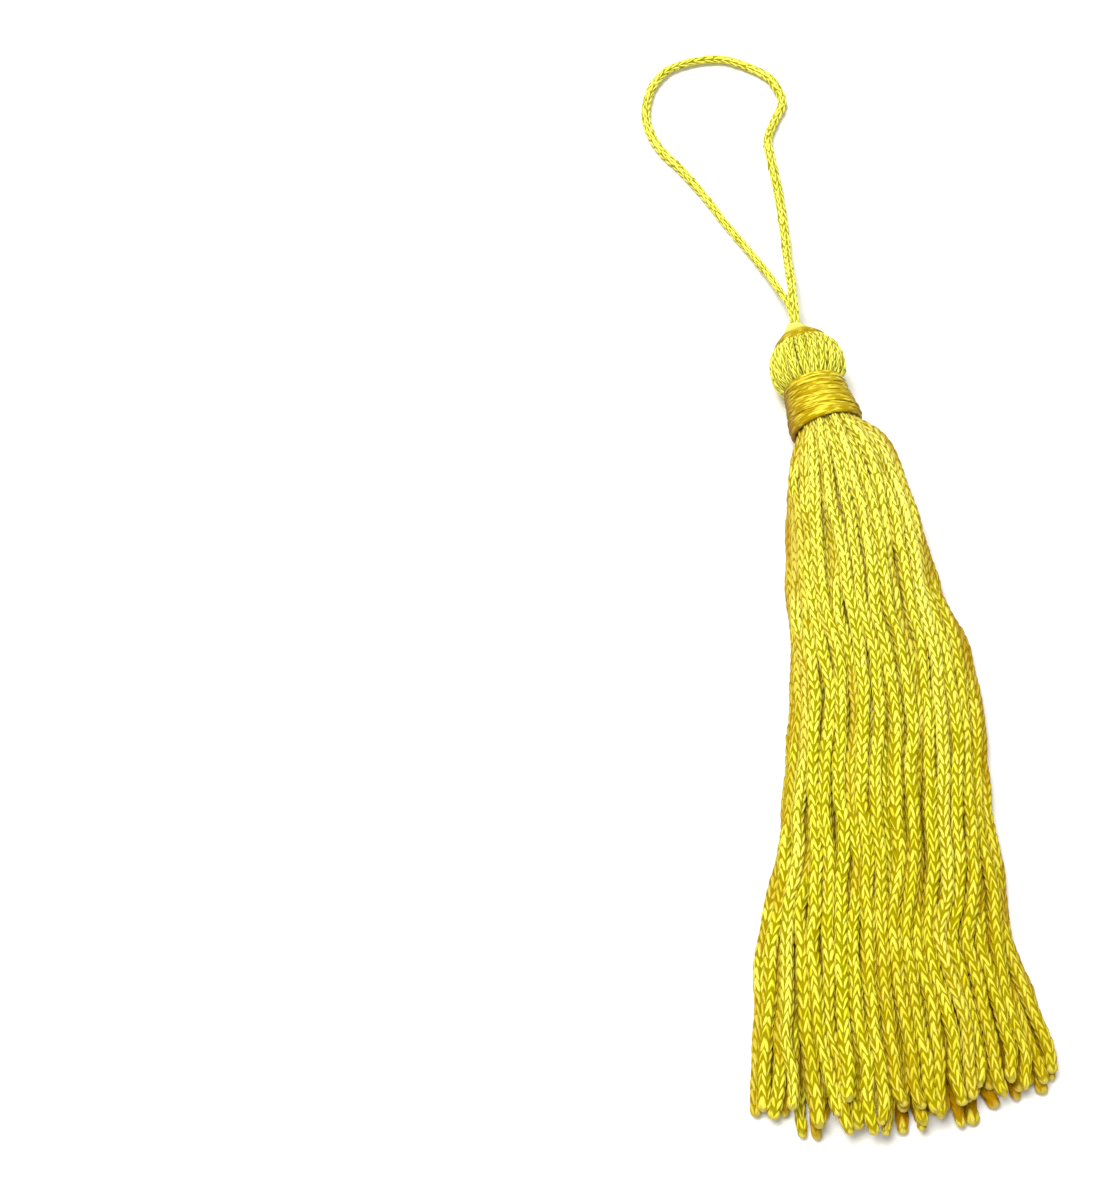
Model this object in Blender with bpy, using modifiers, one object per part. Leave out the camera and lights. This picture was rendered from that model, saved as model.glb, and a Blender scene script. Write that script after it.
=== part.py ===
"""A silk tassel, lying on its side on a flat surface.

A hank of knitted viscose cords is folded over at the top. The fold is the round bulb of the
head, and the cut ends hang as the skirt. Satin floss is wound round the neck, and into a cone
at the crown, where both ends of the hanging loop go in.

The frame: +Y runs from the hem to the crown, +Z is up, and the surface is at z = 0.
"""

import math

import bmesh
import bpy
import numpy as np
from mathutils import Matrix

MM = 0.001  # sizes below are in millimetres, and the scene is in metres
GAP = 0.3  # between neighbouring pieces
MERGE = 0.00001  # in metres, for points that are the same point

# One knitted cord. It is a soft tube, so it lies a little flat.
CORD_WIDTH = 1.95
CORD_HEIGHT = 1.5

# The head, measured along its own axis from the mouth of the neck binding.
MOUTH_X, MOUTH_Y, MOUTH_Z = -5.0, 43.1, 5.5
HEAD_LEAN = 12.5  # degrees, of the head to the side
HEAD_PITCH = 1.4  # degrees, because the bulb is fatter than the neck binding
BINDING_HEIGHT = 8.2
BULB_TOP = 15.2
CROWN_TOP = 19.8
MOUTH_BORE = 5.0  # radius inside the neck binding at its mouth
THROAT_BORE = 3.8  # radius inside it at its other end
CROWN_BORE = 2.2  # radius of the hollow under the crown binding
CROWN_HOLLOW = 17.2  # where that hollow ends
ROOT = 1.2  # how far inside the mouth the cords are fused
BULB_RIDGES = 20  # cords side by side round the bulb
RIDGE_DEPTH = 0.17
BULB_STEPS = 3 * BULB_RIDGES
BINDING_STEPS = 40

# The skirt.
STRANDS = 64
CUT_LENGTH = 104.8  # of a cord, from the mouth to its cut end
UNEVEN = 2.2  # how much longer or shorter a cord may be cut
STRAND_SHARE = 0.84  # a strand is this much of a cord's width, so that strands stand apart
FILL = 0.82  # how much of a section the cords fill, because round things leave gaps
HIGHEST = 10.8  # no cord lies higher than this
STEP = 0.5  # between the sections where the cords are laid
ROUNDS = 40  # of pushing them apart at each section
FIRST_ROUNDS = 300  # and at the first
EASE = 2.0  # a cord's path is smoothed over this distance each way
SHIFT = 0.15  # the most that a cord is pushed at each step, so that it bends gently
SINK = 0.06  # how far a cord falls at each step, if nothing is under it
WANDER = 0.035  # how far it strays to the side at each step
SEED = 17

# The skirt's outline: where the middle of a section is, half its width, its underside, and
# the height at which it is widest. The first row is the mouth of the neck binding.
SECTION_COLUMNS = ("x", "y", "half_width", "underside", "widest_at")
SECTIONS = (
    (-5.0, 43.1, 4.28, 1.22, 5.5),
    (-4.8, 42.2, 4.38, 1.12, 5.5),
    (-4.1, 39.8, 6.80, 0.30, 5.0),
    (-3.0, 37.1, 8.45, 0.00, 4.4),
    (-2.1, 32.4, 9.55, 0.00, 3.4),
    (-1.2, 22.4, 10.8, 0.00, 2.4),
    (-0.6, 13.8, 11.85, 0.00, 1.8),
    (1.1, 4.4, 13.8, 0.00, 1.4),
    (1.3, -5.0, 14.3, 0.00, 1.2),
    (0.3, -15.7, 14.7, 0.00, 1.1),
    (-0.1, -26.1, 16.3, 0.00, 1.0),
    (-1.1, -37.5, 18.2, 0.00, 0.9),
    (-0.6, -47.1, 20.0, 0.00, 0.9),
    (-0.1, -55.7, 21.6, 0.00, 0.9),
    (0.3, -70.0, 23.2, 0.00, 0.9),
)
# How far along a strand its points are, from the mouth. The last one is its cut end.
STATIONS = (-2.2, 1.5, 4.0, 7.5, 12.0, 18.5, 26.0, 34.0, 43.0, 52.0, 61.0, 71.0, 81.0, 92.0)

# The hanging loop, from the crown, out on the surface and back: the cord's own middle line.
LOOP_CORD = 1.65  # its width: it has been pulled longer and thinner than the others
LOOP_THIN = 0.62  # the share of its width where the crown binding squeezes it
LOOP_TAPER = 5.0  # how far from the crown it has its full width again
LOOP_DRAWN = 0.82  # the share of its width on its last leg, which is drawn tight
LOOP_DRAWN_LEG = 42.0  # how long that leg is
LOOP_EASES = 10.0  # the length over which it gets there
LOOP_SPACING = 2.4 * LOOP_CORD
LOOP_ROUTE = (
    (-8.95, 63.0, 6.75),
    (-9.15, 66.6, 6.80),
    (-9.05, 70.0, 5.60),
    (-9.00, 73.6, 4.00),
    (-8.95, 78.5, 2.10),
    (-8.95, 84.0, 1.10),
    (-9.55, 92.5, 0.84),
    (-10.4, 99.4, 0.84),
    (-10.7, 103.6, 0.84),
    (-9.4, 107.6, 0.84),
    (-7.9, 111.2, 0.84),
    (-8.5, 114.6, 0.84),
    (-10.9, 118.1, 0.84),
    (-18.2, 121.4, 0.84),
    (-26.1, 119.8, 0.84),
    (-30.1, 115.7, 0.84),
    (-31.6, 109.9, 0.84),
    (-31.0, 105.1, 0.84),
    (-28.8, 100.7, 0.84),
    (-26.4, 97.8, 0.84),
    (-24.1, 94.6, 0.84),
    (-21.6, 90.8, 0.84),
    (-18.7, 85.8, 0.84),
    (-15.6, 81.0, 0.95),
    (-13.6, 77.5, 1.35),
    (-11.9, 74.0, 2.10),
    (-10.5, 70.2, 3.20),
    (-9.50, 66.8, 4.50),
    (-9.15, 63.0, 5.20),
)

YELLOW_CORD = (0.78, 0.69, 0.02, 1.0)
YELLOW_FLOSS = (0.74, 0.60, 0.02, 1.0)


# ---- the scene ----------------------------------------------------------------------------


def empty_scene():
    for obj in list(bpy.data.objects):
        bpy.data.objects.remove(obj, do_unlink=True)


def collection(name):
    made = bpy.data.collections.new(name)
    bpy.context.scene.collection.children.link(made)
    return made


def material(name, colour, roughness):
    made = bpy.data.materials.new(name)
    made.use_nodes = True
    shader = made.node_tree.nodes["Principled BSDF"]
    shader.inputs["Base Color"].default_value = colour
    shader.inputs["Roughness"].default_value = roughness
    shader.inputs["Metallic"].default_value = 0.0
    return made


def placed(name, data, home, finish=None, place=Matrix()):
    """An object of this mesh or curve, in that collection."""
    obj = bpy.data.objects.new(name, data)
    home.objects.link(obj)
    obj.matrix_world = place
    if finish:
        data.materials.append(finish)
    return obj


def as_helper(obj):
    obj.hide_render = True
    obj.display_type = "WIRE"
    return obj


def as_mesh(obj):
    """The object's shape as a plain mesh. The object goes."""
    bpy.context.view_layer.update()
    evaluated = obj.evaluated_get(bpy.context.evaluated_depsgraph_get())
    mesh = bpy.data.meshes.new_from_object(evaluated)
    mesh.transform(obj.matrix_world)
    bpy.data.objects.remove(obj, do_unlink=True)
    shape = bmesh.new()
    shape.from_mesh(mesh)
    bmesh.ops.remove_doubles(shape, verts=shape.verts, dist=MERGE)
    bmesh.ops.recalc_face_normals(shape, faces=shape.faces)
    shape.to_mesh(mesh)
    shape.free()
    return mesh


def boolean(obj, other, operation):
    cut = obj.modifiers.new(operation.lower(), "BOOLEAN")
    cut.operation = operation
    cut.object = other


def smooth(obj):
    obj.data.shade_smooth()
    obj.data.set_sharp_from_angle(angle=math.radians(40))


# ---- the head -----------------------------------------------------------------------------


def head_place():
    """Takes a point on the head's own axis, which is its Z, to where the head lies."""
    turn = Matrix.Rotation(math.radians(HEAD_LEAN), 4, "Z")
    tip = Matrix.Rotation(math.radians(HEAD_PITCH - 90), 4, "X")
    mouth = (MOUTH_X * MM, MOUTH_Y * MM, MOUTH_Z * MM)
    return Matrix.Translation(mouth) @ turn @ tip


def turned(name, profile, home, steps, closed=False):
    """A turned shape. The profile has rows of radius and height, from the top down its outer
    side. A closed profile makes a ring."""
    shape = bmesh.new()
    points = [shape.verts.new((radius * MM, 0, height * MM)) for radius, height in profile]
    for start, end in zip(points, points[1:]):
        shape.edges.new((start, end))
    if closed:
        shape.edges.new((points[-1], points[0]))
    mesh = bpy.data.meshes.new(name)
    shape.to_mesh(mesh)
    shape.free()
    obj = placed(name, mesh, home)
    screw = obj.modifiers.new("turn", "SCREW")
    screw.steps = steps
    screw.render_steps = steps
    screw.use_merge_vertices = True
    screw.merge_threshold = MERGE
    return obj


def inside(bore):
    """The radius that fits a binding's bore with the gap, also at the middle of its faces."""
    return bore * math.cos(math.pi / BINDING_STEPS) - GAP


def stem_radius(height):
    """The stem follows the neck binding's bore, which is wider at its mouth."""
    return inside(MOUTH_BORE + (THROAT_BORE - MOUTH_BORE) * height / BINDING_HEIGHT)


def ridged(mesh):
    """Raises a ridge for each cord that runs over the bulb. The stem stays round."""
    stem = stem_radius(BINDING_HEIGHT)
    widest = max(math.hypot(v.co.x, v.co.y) for v in mesh.vertices) / MM
    for v in mesh.vertices:
        radius = math.hypot(v.co.x, v.co.y) / MM
        if radius > stem and v.co.z > BINDING_HEIGHT * MM:
            depth = RIDGE_DEPTH * min(1.0, 2 * (radius - stem) / (widest - stem))
            wave = depth * math.cos(BULB_RIDGES * math.atan2(v.co.y, v.co.x))
            v.co.x *= 1 + wave / radius
            v.co.y *= 1 + wave / radius


def hank_core(home):
    """The folded bulb, the stem through the neck binding, and the stub inside the crown."""
    under_bulb = BINDING_HEIGHT + GAP
    profile = (
        (0.0, CROWN_HOLLOW - GAP),
        (inside(CROWN_BORE), CROWN_HOLLOW - GAP),
        (inside(CROWN_BORE), BULB_TOP),
        (4.00, BULB_TOP),
        (4.65, 14.8),
        (5.25, 14.1),
        (5.75, 13.0),
        (5.95, 11.6),
        (5.80, 10.2),
        (5.50, 9.2),
        (5.00, under_bulb),
        (stem_radius(under_bulb), under_bulb),
        (stem_radius(ROOT), ROOT),
        (0.0, ROOT),
    )
    mesh = as_mesh(turned("hank_core", profile, home, BULB_STEPS))
    ridged(mesh)
    return mesh


def neck_binding(home, finish, surface):
    profile = (
        (4.55, BINDING_HEIGHT),
        (4.85, 7.8),
        (4.80, 6.8),
        (5.00, 5.9),
        (4.95, 5.0),
        (5.25, 4.1),
        (5.25, 3.2),
        (5.60, 2.3),
        (5.70, 0.4),
        (5.50, 0.0),
        (MOUTH_BORE, 0.0),
        (THROAT_BORE, BINDING_HEIGHT),
    )
    obj = turned("neck_binding", profile, home, BINDING_STEPS, closed=True)
    obj.matrix_world = head_place()
    obj.data.materials.append(finish)
    boolean(obj, surface, "DIFFERENCE")
    smooth(obj)


def crown_binding(home, finish):
    profile = (
        (0.0, CROWN_TOP),
        (1.20, CROWN_TOP),
        (1.40, 19.2),
        (1.90, 18.4),
        (2.70, 17.5),
        (3.60, 16.6),
        (4.25, 15.9),
        (4.35, BULB_TOP + GAP),
        (CROWN_BORE, BULB_TOP + GAP),
        (CROWN_BORE, CROWN_HOLLOW),
        (0.0, CROWN_HOLLOW),
    )
    obj = turned("crown_binding", profile, home, BINDING_STEPS)
    obj.matrix_world = head_place()
    obj.data.materials.append(finish)
    smooth(obj)


# ---- smooth lines -------------------------------------------------------------------------


def smooth_line(rows, spacing, across=3):
    """Rows at this spacing on a smooth curve through the given rows, and how far along each
    is. Only the first columns, as many as across, are places that count in the distance."""
    p = np.array(rows)
    p = np.concatenate([[2 * p[0] - p[1]], p, [2 * p[-1] - p[-2]]])
    fine = []
    for a, b, c, d in zip(p, p[1:], p[2:], p[3:]):
        for t in np.arange(0, 1, 0.05):
            bend = (2 * a - 5 * b + 4 * c - d) * t + (3 * b - a - 3 * c + d) * t * t
            fine.append(b + t / 2 * (c - a + bend))
    fine = np.array(fine + [p[-2]])
    run = np.linalg.norm(np.diff(fine[:, :across], axis=0), axis=1)
    along = np.concatenate([[0], np.cumsum(run)])
    at = np.linspace(0, along[-1], round(along[-1] / spacing) + 1)
    return np.stack([np.interp(at, along, column) for column in fine.T], axis=1), at


# ---- the skirt ----------------------------------------------------------------------------


def sections():
    """The skirt's outline at even steps down from inside the mouth, as arrays by name. It adds
    the top of each section, which follows from the room that the cords need, and how much of
    its full size a cord has there."""
    rows, down = smooth_line(SECTIONS, STEP, across=2)
    before = np.arange(-EASE, 0, STEP)
    rows = np.concatenate([np.repeat(rows[:1], len(before), axis=0), rows])
    down = np.concatenate([before, down])
    made = dict(zip(SECTION_COLUMNS, rows.T))
    lean = math.radians(HEAD_LEAN)
    made["x"] += np.minimum(down, 0) * math.sin(lean)
    made["y"] -= np.minimum(down, 0) * math.cos(lean)
    need = STRANDS * CORD_WIDTH * CORD_HEIGHT * math.pi / 4 / FILL
    lower = made["widest_at"] - made["underside"]
    upper = 2 * need / (math.pi * made["half_width"]) - lower
    most = np.minimum(HIGHEST - made["widest_at"], made["half_width"])
    made["upper"] = np.minimum(upper, most)
    made["lower"] = lower
    area = math.pi / 2 * made["half_width"] * (made["upper"] + lower)
    made["size"] = np.minimum(1.0, np.sqrt(area / need))
    made["down"] = down
    return made


def spread(at, now, rounds):
    """Pushes cords apart until they only touch, and keeps them inside the section. A row of
    at is one cord: across from the middle, and up from the widest height."""
    cord = np.array([CORD_WIDTH, CORD_HEIGHT]) * now["size"]
    side, upper, lower = np.array([now["half_width"], now["upper"], now["lower"]]) - (
        cord[[0, 1, 1]] / 2
    )
    lies_flat = now["underside"] < 0.01
    for _ in range(rounds):
        between = (at[:, None] - at[None]) / cord
        apart = np.maximum(np.linalg.norm(between, axis=2), 0.01) + np.eye(len(at))
        overlap = np.clip(1 - apart, 0, None) / apart
        at = at + 0.35 * (between * overlap[..., None]).sum(axis=1) * cord
        at[:, 0] = np.clip(at[:, 0], -side, side)
        at[:, 1] = np.clip(at[:, 1], -lower, upper)
        reach = np.where(at[:, 1] > 0, upper, lower)
        out = np.hypot(at[:, 0] / side, at[:, 1] / reach)
        if lies_flat:
            out[at[:, 1] <= 0] = 1
        at = at / np.maximum(out, 1)[:, None]
    return at


def cord_paths():
    """The middle line of each cord, as an array of cord, step, and x, y and z."""
    made = sections()
    draw = np.random.default_rng(SEED)
    turn = np.arange(STRANDS) * math.pi * (3 - math.sqrt(5))
    out = np.sqrt((np.arange(STRANDS) + 0.5) / STRANDS)
    at = np.stack([out * np.cos(turn), out * np.sin(turn)], axis=1) * 0.85 * SECTIONS[0][2]
    wave_length = draw.uniform(25, 60, STRANDS)
    phase = draw.uniform(0, 2 * math.pi, STRANDS)
    laid = []
    for k, down in enumerate(made["down"]):
        now = {name: values[k] for name, values in made.items()}
        before = {name: values[max(k - 1, 0)] for name, values in made.items()}
        part = np.where(at[:, 1] > 0, now["upper"] / before["upper"], now["lower"] / before["lower"])
        at = at * np.stack([np.full(STRANDS, now["half_width"] / before["half_width"]), part], axis=1)
        at[:, 0] += WANDER * np.cos(2 * math.pi * down / wave_length + phase)
        at[:, 1] -= SINK
        moved = spread(at, now, ROUNDS if k else FIRST_ROUNDS) - at
        at = at + (np.clip(moved, -SHIFT, SHIFT) if k else moved)
        laid.append(at)
    laid = np.array(laid).transpose(1, 0, 2)
    ahead = np.stack([np.gradient(made["x"]), np.gradient(made["y"])], axis=1)
    ahead /= np.linalg.norm(ahead, axis=1)[:, None]
    x = made["x"] - laid[..., 0] * ahead[:, 1]
    y = made["y"] + laid[..., 0] * ahead[:, 0]
    z = made["widest_at"] + laid[..., 1]
    lines = eased(np.stack([x, y, z], axis=2))
    lines[..., 2] = np.maximum(lines[..., 2], CORD_HEIGHT / 2 * made["size"])
    return lines, made["size"]


def eased(lines):
    """The lines again, each point the mean of its neighbours within EASE."""
    reach = round(EASE / STEP)
    share = np.hanning(2 * reach + 3)[1:-1]
    share /= share.sum()
    start = lines[:, :1] + (lines[:, :1] - lines[:, 1 : reach + 1])[:, ::-1]
    end = lines[:, -1:] + (lines[:, -1:] - lines[:, -reach - 1 : -1])[:, ::-1]
    longer = np.concatenate([start, lines, end], axis=1)
    count = lines.shape[1]
    return sum(share[i] * longer[:, i : i + count] for i in range(2 * reach + 1))


def strand_points():
    """For each strand, its points and the share of its full size at each."""
    lines, size = cord_paths()
    draw = np.random.default_rng(SEED + 1)
    start = round(EASE / STEP)
    found = []
    for line in lines:
        run = np.linalg.norm(np.diff(line, axis=0), axis=1)
        along = np.concatenate([[0], np.cumsum(run)])
        along -= along[start]
        cut = CUT_LENGTH + draw.uniform(-UNEVEN, UNEVEN)
        stations = np.array(STATIONS + (cut,))
        points = np.stack([np.interp(stations, along, line[:, k]) for k in range(3)], axis=1)
        sizes = STRAND_SHARE * np.interp(stations, along, size)
        points[:, 2] -= (1 / STRAND_SHARE - 1) * sizes * CORD_HEIGHT / 2
        found.append((points, sizes))
    return found


def strands(home):
    """All the strands as one mesh: a diamond of a cord's width and height, along each path."""
    diamond = bpy.data.curves.new("strand_profile", "CURVE")
    outline = diamond.splines.new("POLY")
    outline.points.add(3)
    outline.use_cyclic_u = True
    corners = ((CORD_WIDTH, 0), (0, CORD_HEIGHT), (-CORD_WIDTH, 0), (0, -CORD_HEIGHT))
    for point, (across, up) in zip(outline.points, corners):
        point.co = (across / 2 * MM, up / 2 * MM, 0, 1)
    profile = as_helper(placed("strand_profile", diamond, home))
    curve = bpy.data.curves.new("skirt_strands", "CURVE")
    curve.dimensions = "3D"
    curve.twist_mode = "Z_UP"
    curve.bevel_mode = "OBJECT"
    curve.bevel_object = profile
    curve.use_fill_caps = True
    for points, sizes in strand_points():
        spline = curve.splines.new("POLY")
        spline.points.add(len(points) - 1)
        for point, place, share in zip(spline.points, points * MM, sizes):
            point.co = (*place, 1)
            point.radius = share
    mesh = as_mesh(placed("skirt_strands", curve, home))
    return as_helper(placed("skirt_strands", mesh, home))


def cord_hank(home, helpers, finish, surface):
    mesh = hank_core(helpers)
    obj = placed("cord_hank", mesh, home, finish, head_place())
    boolean(obj, surface, "DIFFERENCE")
    boolean(obj, strands(helpers), "UNION")
    smooth(obj)


# ---- the hanging loop ---------------------------------------------------------------------


def hanging_loop(home, finish):
    points, along = smooth_line(LOOP_ROUTE, LOOP_SPACING)
    curve = bpy.data.curves.new("hanging_loop", "CURVE")
    curve.dimensions = "3D"
    curve.bevel_depth = LOOP_CORD / 2 * MM
    curve.bevel_resolution = 2
    curve.use_fill_caps = True
    spline = curve.splines.new("POLY")
    spline.points.add(len(points) - 1)
    for point, place, run in zip(spline.points, points * MM, along):
        to_end = along[-1] - run
        held = max(0.0, 1 - min(run, to_end) / LOOP_TAPER)
        drawn = min(1.0, max(0.0, (LOOP_DRAWN_LEG - to_end) / LOOP_EASES))
        point.co = (*place, 1)
        point.radius = (1 - (1 - LOOP_THIN) * held) * (1 - (1 - LOOP_DRAWN) * drawn)
    placed("hanging_loop", curve, home, finish)


# ---- the tassel ---------------------------------------------------------------------------


def surface_cutter(home):
    """A block below the surface, which gives the round head its small flat spots."""
    size = 60 * MM
    shape = bmesh.new()
    bmesh.ops.create_cube(shape, size=size)
    mesh = bpy.data.meshes.new("surface_cutter")
    shape.to_mesh(mesh)
    shape.free()
    centre = Matrix.Translation((MOUTH_X * MM, (MOUTH_Y + 10) * MM, -size / 2))
    return as_helper(placed("surface_cutter", mesh, home, place=centre))


def main():
    empty_scene()
    tassel = collection("silk_tassel")
    helpers = collection("helpers")
    cord = material("viscose_cord", YELLOW_CORD, 0.45)
    floss = material("satin_floss", YELLOW_FLOSS, 0.3)
    surface = surface_cutter(helpers)
    cord_hank(tassel, helpers, cord, surface)
    neck_binding(tassel, floss, surface)
    crown_binding(tassel, floss)
    hanging_loop(tassel, cord)


main()
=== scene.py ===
# %% [markdown]
# # A silk tassel
#
# This notebook dresses a bright yellow tassel that lies on a table. "Silk" is the trade's word:
# the real fibre is viscose, spun as shiny floss and knitted into a fine round cord that makers
# call chainette. A hank of that cord is folded over a loop, and floss is wound round the neck
# and the crown. Everything you see is therefore one of two things, knitted cord or wound floss,
# and most of this lesson is about making those two well.

# %% The frame
import math

import bmesh
import bpy
import numpy as np
from mathutils import Matrix, Vector
from mathutils.kdtree import KDTree


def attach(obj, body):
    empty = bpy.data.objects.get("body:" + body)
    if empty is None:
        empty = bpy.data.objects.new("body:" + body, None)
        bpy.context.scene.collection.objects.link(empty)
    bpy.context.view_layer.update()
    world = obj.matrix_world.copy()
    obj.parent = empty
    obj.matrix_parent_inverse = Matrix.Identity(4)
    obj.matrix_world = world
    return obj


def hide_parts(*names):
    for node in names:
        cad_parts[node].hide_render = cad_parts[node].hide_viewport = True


MM = 0.001  # sizes below are in millimetres, and the scene is in metres

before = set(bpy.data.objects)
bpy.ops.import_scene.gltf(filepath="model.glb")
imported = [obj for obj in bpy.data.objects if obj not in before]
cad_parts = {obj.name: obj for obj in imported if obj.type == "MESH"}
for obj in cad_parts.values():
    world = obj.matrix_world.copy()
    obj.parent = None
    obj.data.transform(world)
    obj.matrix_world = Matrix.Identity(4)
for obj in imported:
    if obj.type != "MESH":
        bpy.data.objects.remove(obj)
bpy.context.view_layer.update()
print("nodes:", sorted(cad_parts))

# %% [markdown]
# ## The camera
#
# The photograph was taken from above the foot of the tassel, looking down at 65 degrees. A
# camera is easiest to place from what it looks at: step back from that point along the line of
# sight. The lens gives the same perspective as the photograph.

# %% The camera
LOOKED_AT = Vector((-46.5, 16.5, 0.0)) * MM
LOOKING_DOWN = math.radians(65)
DISTANCE = 267 * MM
LENS = 52.8  # millimetres, on a sensor that is 36 mm high
SENSOR_HEIGHT = 36.0

camera = bpy.data.objects.new("camera", bpy.data.cameras.new("camera"))
camera.data.lens = LENS
camera.data.sensor_fit = "VERTICAL"
camera.data.sensor_height = SENSOR_HEIGHT
camera.data.clip_start = 0.01
back = Vector((0, -math.cos(LOOKING_DOWN), math.sin(LOOKING_DOWN)))
camera.location = LOOKED_AT + DISTANCE * back
camera.rotation_euler = (math.pi / 2 - LOOKING_DOWN, 0, 0)
bpy.context.scene.collection.objects.link(camera)
bpy.context.scene.camera = camera
print("camera at", [round(v / MM) for v in camera.location], "mm")

# %% [markdown]
# ## Smooth lines
#
# Cord never bends at a corner. A Catmull-Rom curve passes through every point that we list and
# turns smoothly between them, so a short list of points is enough for a cord's route.


# %% Smooth lines
FINE = 0.05  # the curve is drawn first with points at this share of each span


def smooth_line(rows, spacing):
    """Rows at this spacing on a smooth curve through the given rows. The first three columns
    are a place, and any others are carried along."""
    p = np.array(rows, float)
    p = np.concatenate([[2 * p[0] - p[1]], p, [2 * p[-1] - p[-2]]])
    fine = []
    for a, b, c, d in zip(p, p[1:], p[2:], p[3:]):
        for t in np.arange(0, 1, FINE):
            bend = (2 * a - 5 * b + 4 * c - d) * t + (3 * b - a - 3 * c + d) * t * t
            fine.append(b + t / 2 * (c - a + bend))
    fine = np.array(fine + [p[-2]])
    along = run_of(fine)
    at = np.linspace(0, along[-1], round(along[-1] / spacing) + 1)
    return np.stack([np.interp(at, along, column) for column in fine.T], axis=1)


def run_of(line):
    """How far along a line each of its points is."""
    steps = np.linalg.norm(np.diff(line[:, :3], axis=0), axis=1)
    return np.concatenate([[0], np.cumsum(steps)])


# %% [markdown]
# ## The route of the hanging loop
#
# The loop is one length of cord. Both ends are caught in the crown. It rises out of the crown,
# sinks to the table within a few centimetres, and lies there in a rounded ring with a soft kink
# on the right, where it remembers how it was packed.

# %% The route of the hanging loop
LOOP_CORD = 1.65  # the cord's width: it has been pulled longer and thinner than the others
LOOP_THIN = 0.62  # the share of its width where the crown squeezes it
LOOP_TAPER = 5.0  # how far from the crown it has its full width again
LOOP_DRAWN = 0.82  # the share of its width on its last leg, which is drawn tight
LOOP_DRAWN_LEG = 42.0  # how long that leg is
LOOP_EASES = 10.0  # the length over which it gets there
LIES = 0.84  # the height of its middle line where it lies on the table
LOOP_ROUTE = (
    (-8.95, 63.0, 6.75),
    (-9.15, 66.6, 6.80),
    (-9.05, 70.0, 5.60),
    (-9.00, 73.6, 4.00),
    (-8.95, 78.5, 2.10),
    (-8.95, 84.0, 1.10),
    (-9.55, 92.5, LIES),
    (-10.4, 99.4, LIES),
    (-10.7, 103.6, LIES),
    (-9.4, 107.6, LIES),
    (-7.9, 111.2, LIES),
    (-8.5, 114.6, LIES),
    (-10.9, 118.1, LIES),
    (-18.2, 121.4, LIES),
    (-26.1, 119.8, LIES),
    (-30.1, 115.7, LIES),
    (-31.6, 109.9, LIES),
    (-31.0, 105.1, LIES),
    (-28.8, 100.7, LIES),
    (-26.4, 97.8, LIES),
    (-24.1, 94.6, LIES),
    (-21.6, 90.8, LIES),
    (-18.7, 85.8, LIES),
    (-15.6, 81.0, 0.95),
    (-13.6, 77.5, 1.35),
    (-11.9, 74.0, 2.10),
    (-10.5, 70.2, 3.20),
    (-9.50, 66.8, 4.50),
    (-9.15, 63.0, 5.20),
)
HELD_ENDS = ((-8.95, 61.0, 6.30), (-9.10, 61.0, 5.50))  # inside the crown, out of sight
loop_line = smooth_line((HELD_ENDS[0], *LOOP_ROUTE, HELD_ENDS[1]), spacing=0.5)

# %% [markdown]
# ## Adding nodes
#
# A node tree is built by hand in the editor, or by a script as here. One small function adds a
# node, sets its properties and fills its inputs: an input that is given another node's output
# is linked to it, and any other value is typed in. It gives back the node's output, so that
# calls can be nested like a formula. Most nodes here are sums, so a Math node is asked for by
# its operation alone.


# %% Adding nodes
VECTOR_MATH = "ShaderNodeVectorMath"
RANDOM = "FunctionNodeRandomValue"
READ = "GeometryNodeInputNamedAttribute"
STORE = "GeometryNodeStoreNamedAttribute"
ATTRIBUTE = "ShaderNodeAttribute"
NOISE = "ShaderNodeTexNoise"
MAP_RANGE = "ShaderNodeMapRange"
MIX = "ShaderNodeMix"


def add(tree, kind, inputs=(), **settings):
    """Adds a node and returns its first output. A kind in capitals is a Math node's operation.
    inputs are its values or links, in order, or by name. None leaves an input as it is."""
    if kind.isupper():
        kind, settings["operation"] = "ShaderNodeMath", kind
    made = tree.nodes.new(kind)
    for name, value in settings.items():
        setattr(made, name, value)
    sockets = [socket for socket in made.inputs if socket.enabled]
    if isinstance(inputs, dict):
        named = {socket.name: socket for socket in reversed(sockets)}
        pairs = [(named[name], value) for name, value in inputs.items()]
    else:
        pairs = list(zip(sockets, inputs))
    for socket, value in pairs:
        if isinstance(value, bpy.types.NodeSocket):
            tree.links.new(value, socket)
        elif value is not None:
            socket.default_value = value
    return next((socket for socket in made.outputs if socket.enabled), None)


def new_tree(name, sizes):
    """A Geometry Nodes tree with these named inputs, each a socket's kind and first value, and
    those inputs as sockets that its nodes link to."""
    tree = bpy.data.node_groups.new(name, "GeometryNodeTree")
    tree.interface.new_socket("Geometry", in_out="INPUT", socket_type="NodeSocketGeometry")
    tree.interface.new_socket("Geometry", in_out="OUTPUT", socket_type="NodeSocketGeometry")
    for label, (kind, value) in sizes.items():
        socket = tree.interface.new_socket(label, in_out="INPUT", socket_type="NodeSocket" + kind)
        if value is not None:
            socket.default_value = value
    return tree, add(tree, "NodeGroupInput").node.outputs


def finish_tree(tree, geometry, material):
    """Ends a tree in real faces with a material, because an export drops instances."""
    real = add(tree, "GeometryNodeRealizeInstances", [geometry])
    smooth = add(tree, "GeometryNodeSetShadeSmooth", [real])
    done = add(tree, "GeometryNodeSetMaterial", [smooth, None, material])
    add(tree, "NodeGroupOutput", [done])
    return tree


# %% [markdown]
# ## Growing a piece on its lines
#
# Every cord and thread here follows a line. The lines go into a mesh of points and edges, with
# what varies along them as named attributes: how thick the cord is there, how far it is turned
# round its own line, and which way its flat side faces. A tree then grows the cord on them, and
# the result is kept as a plain mesh at the origin.


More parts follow.
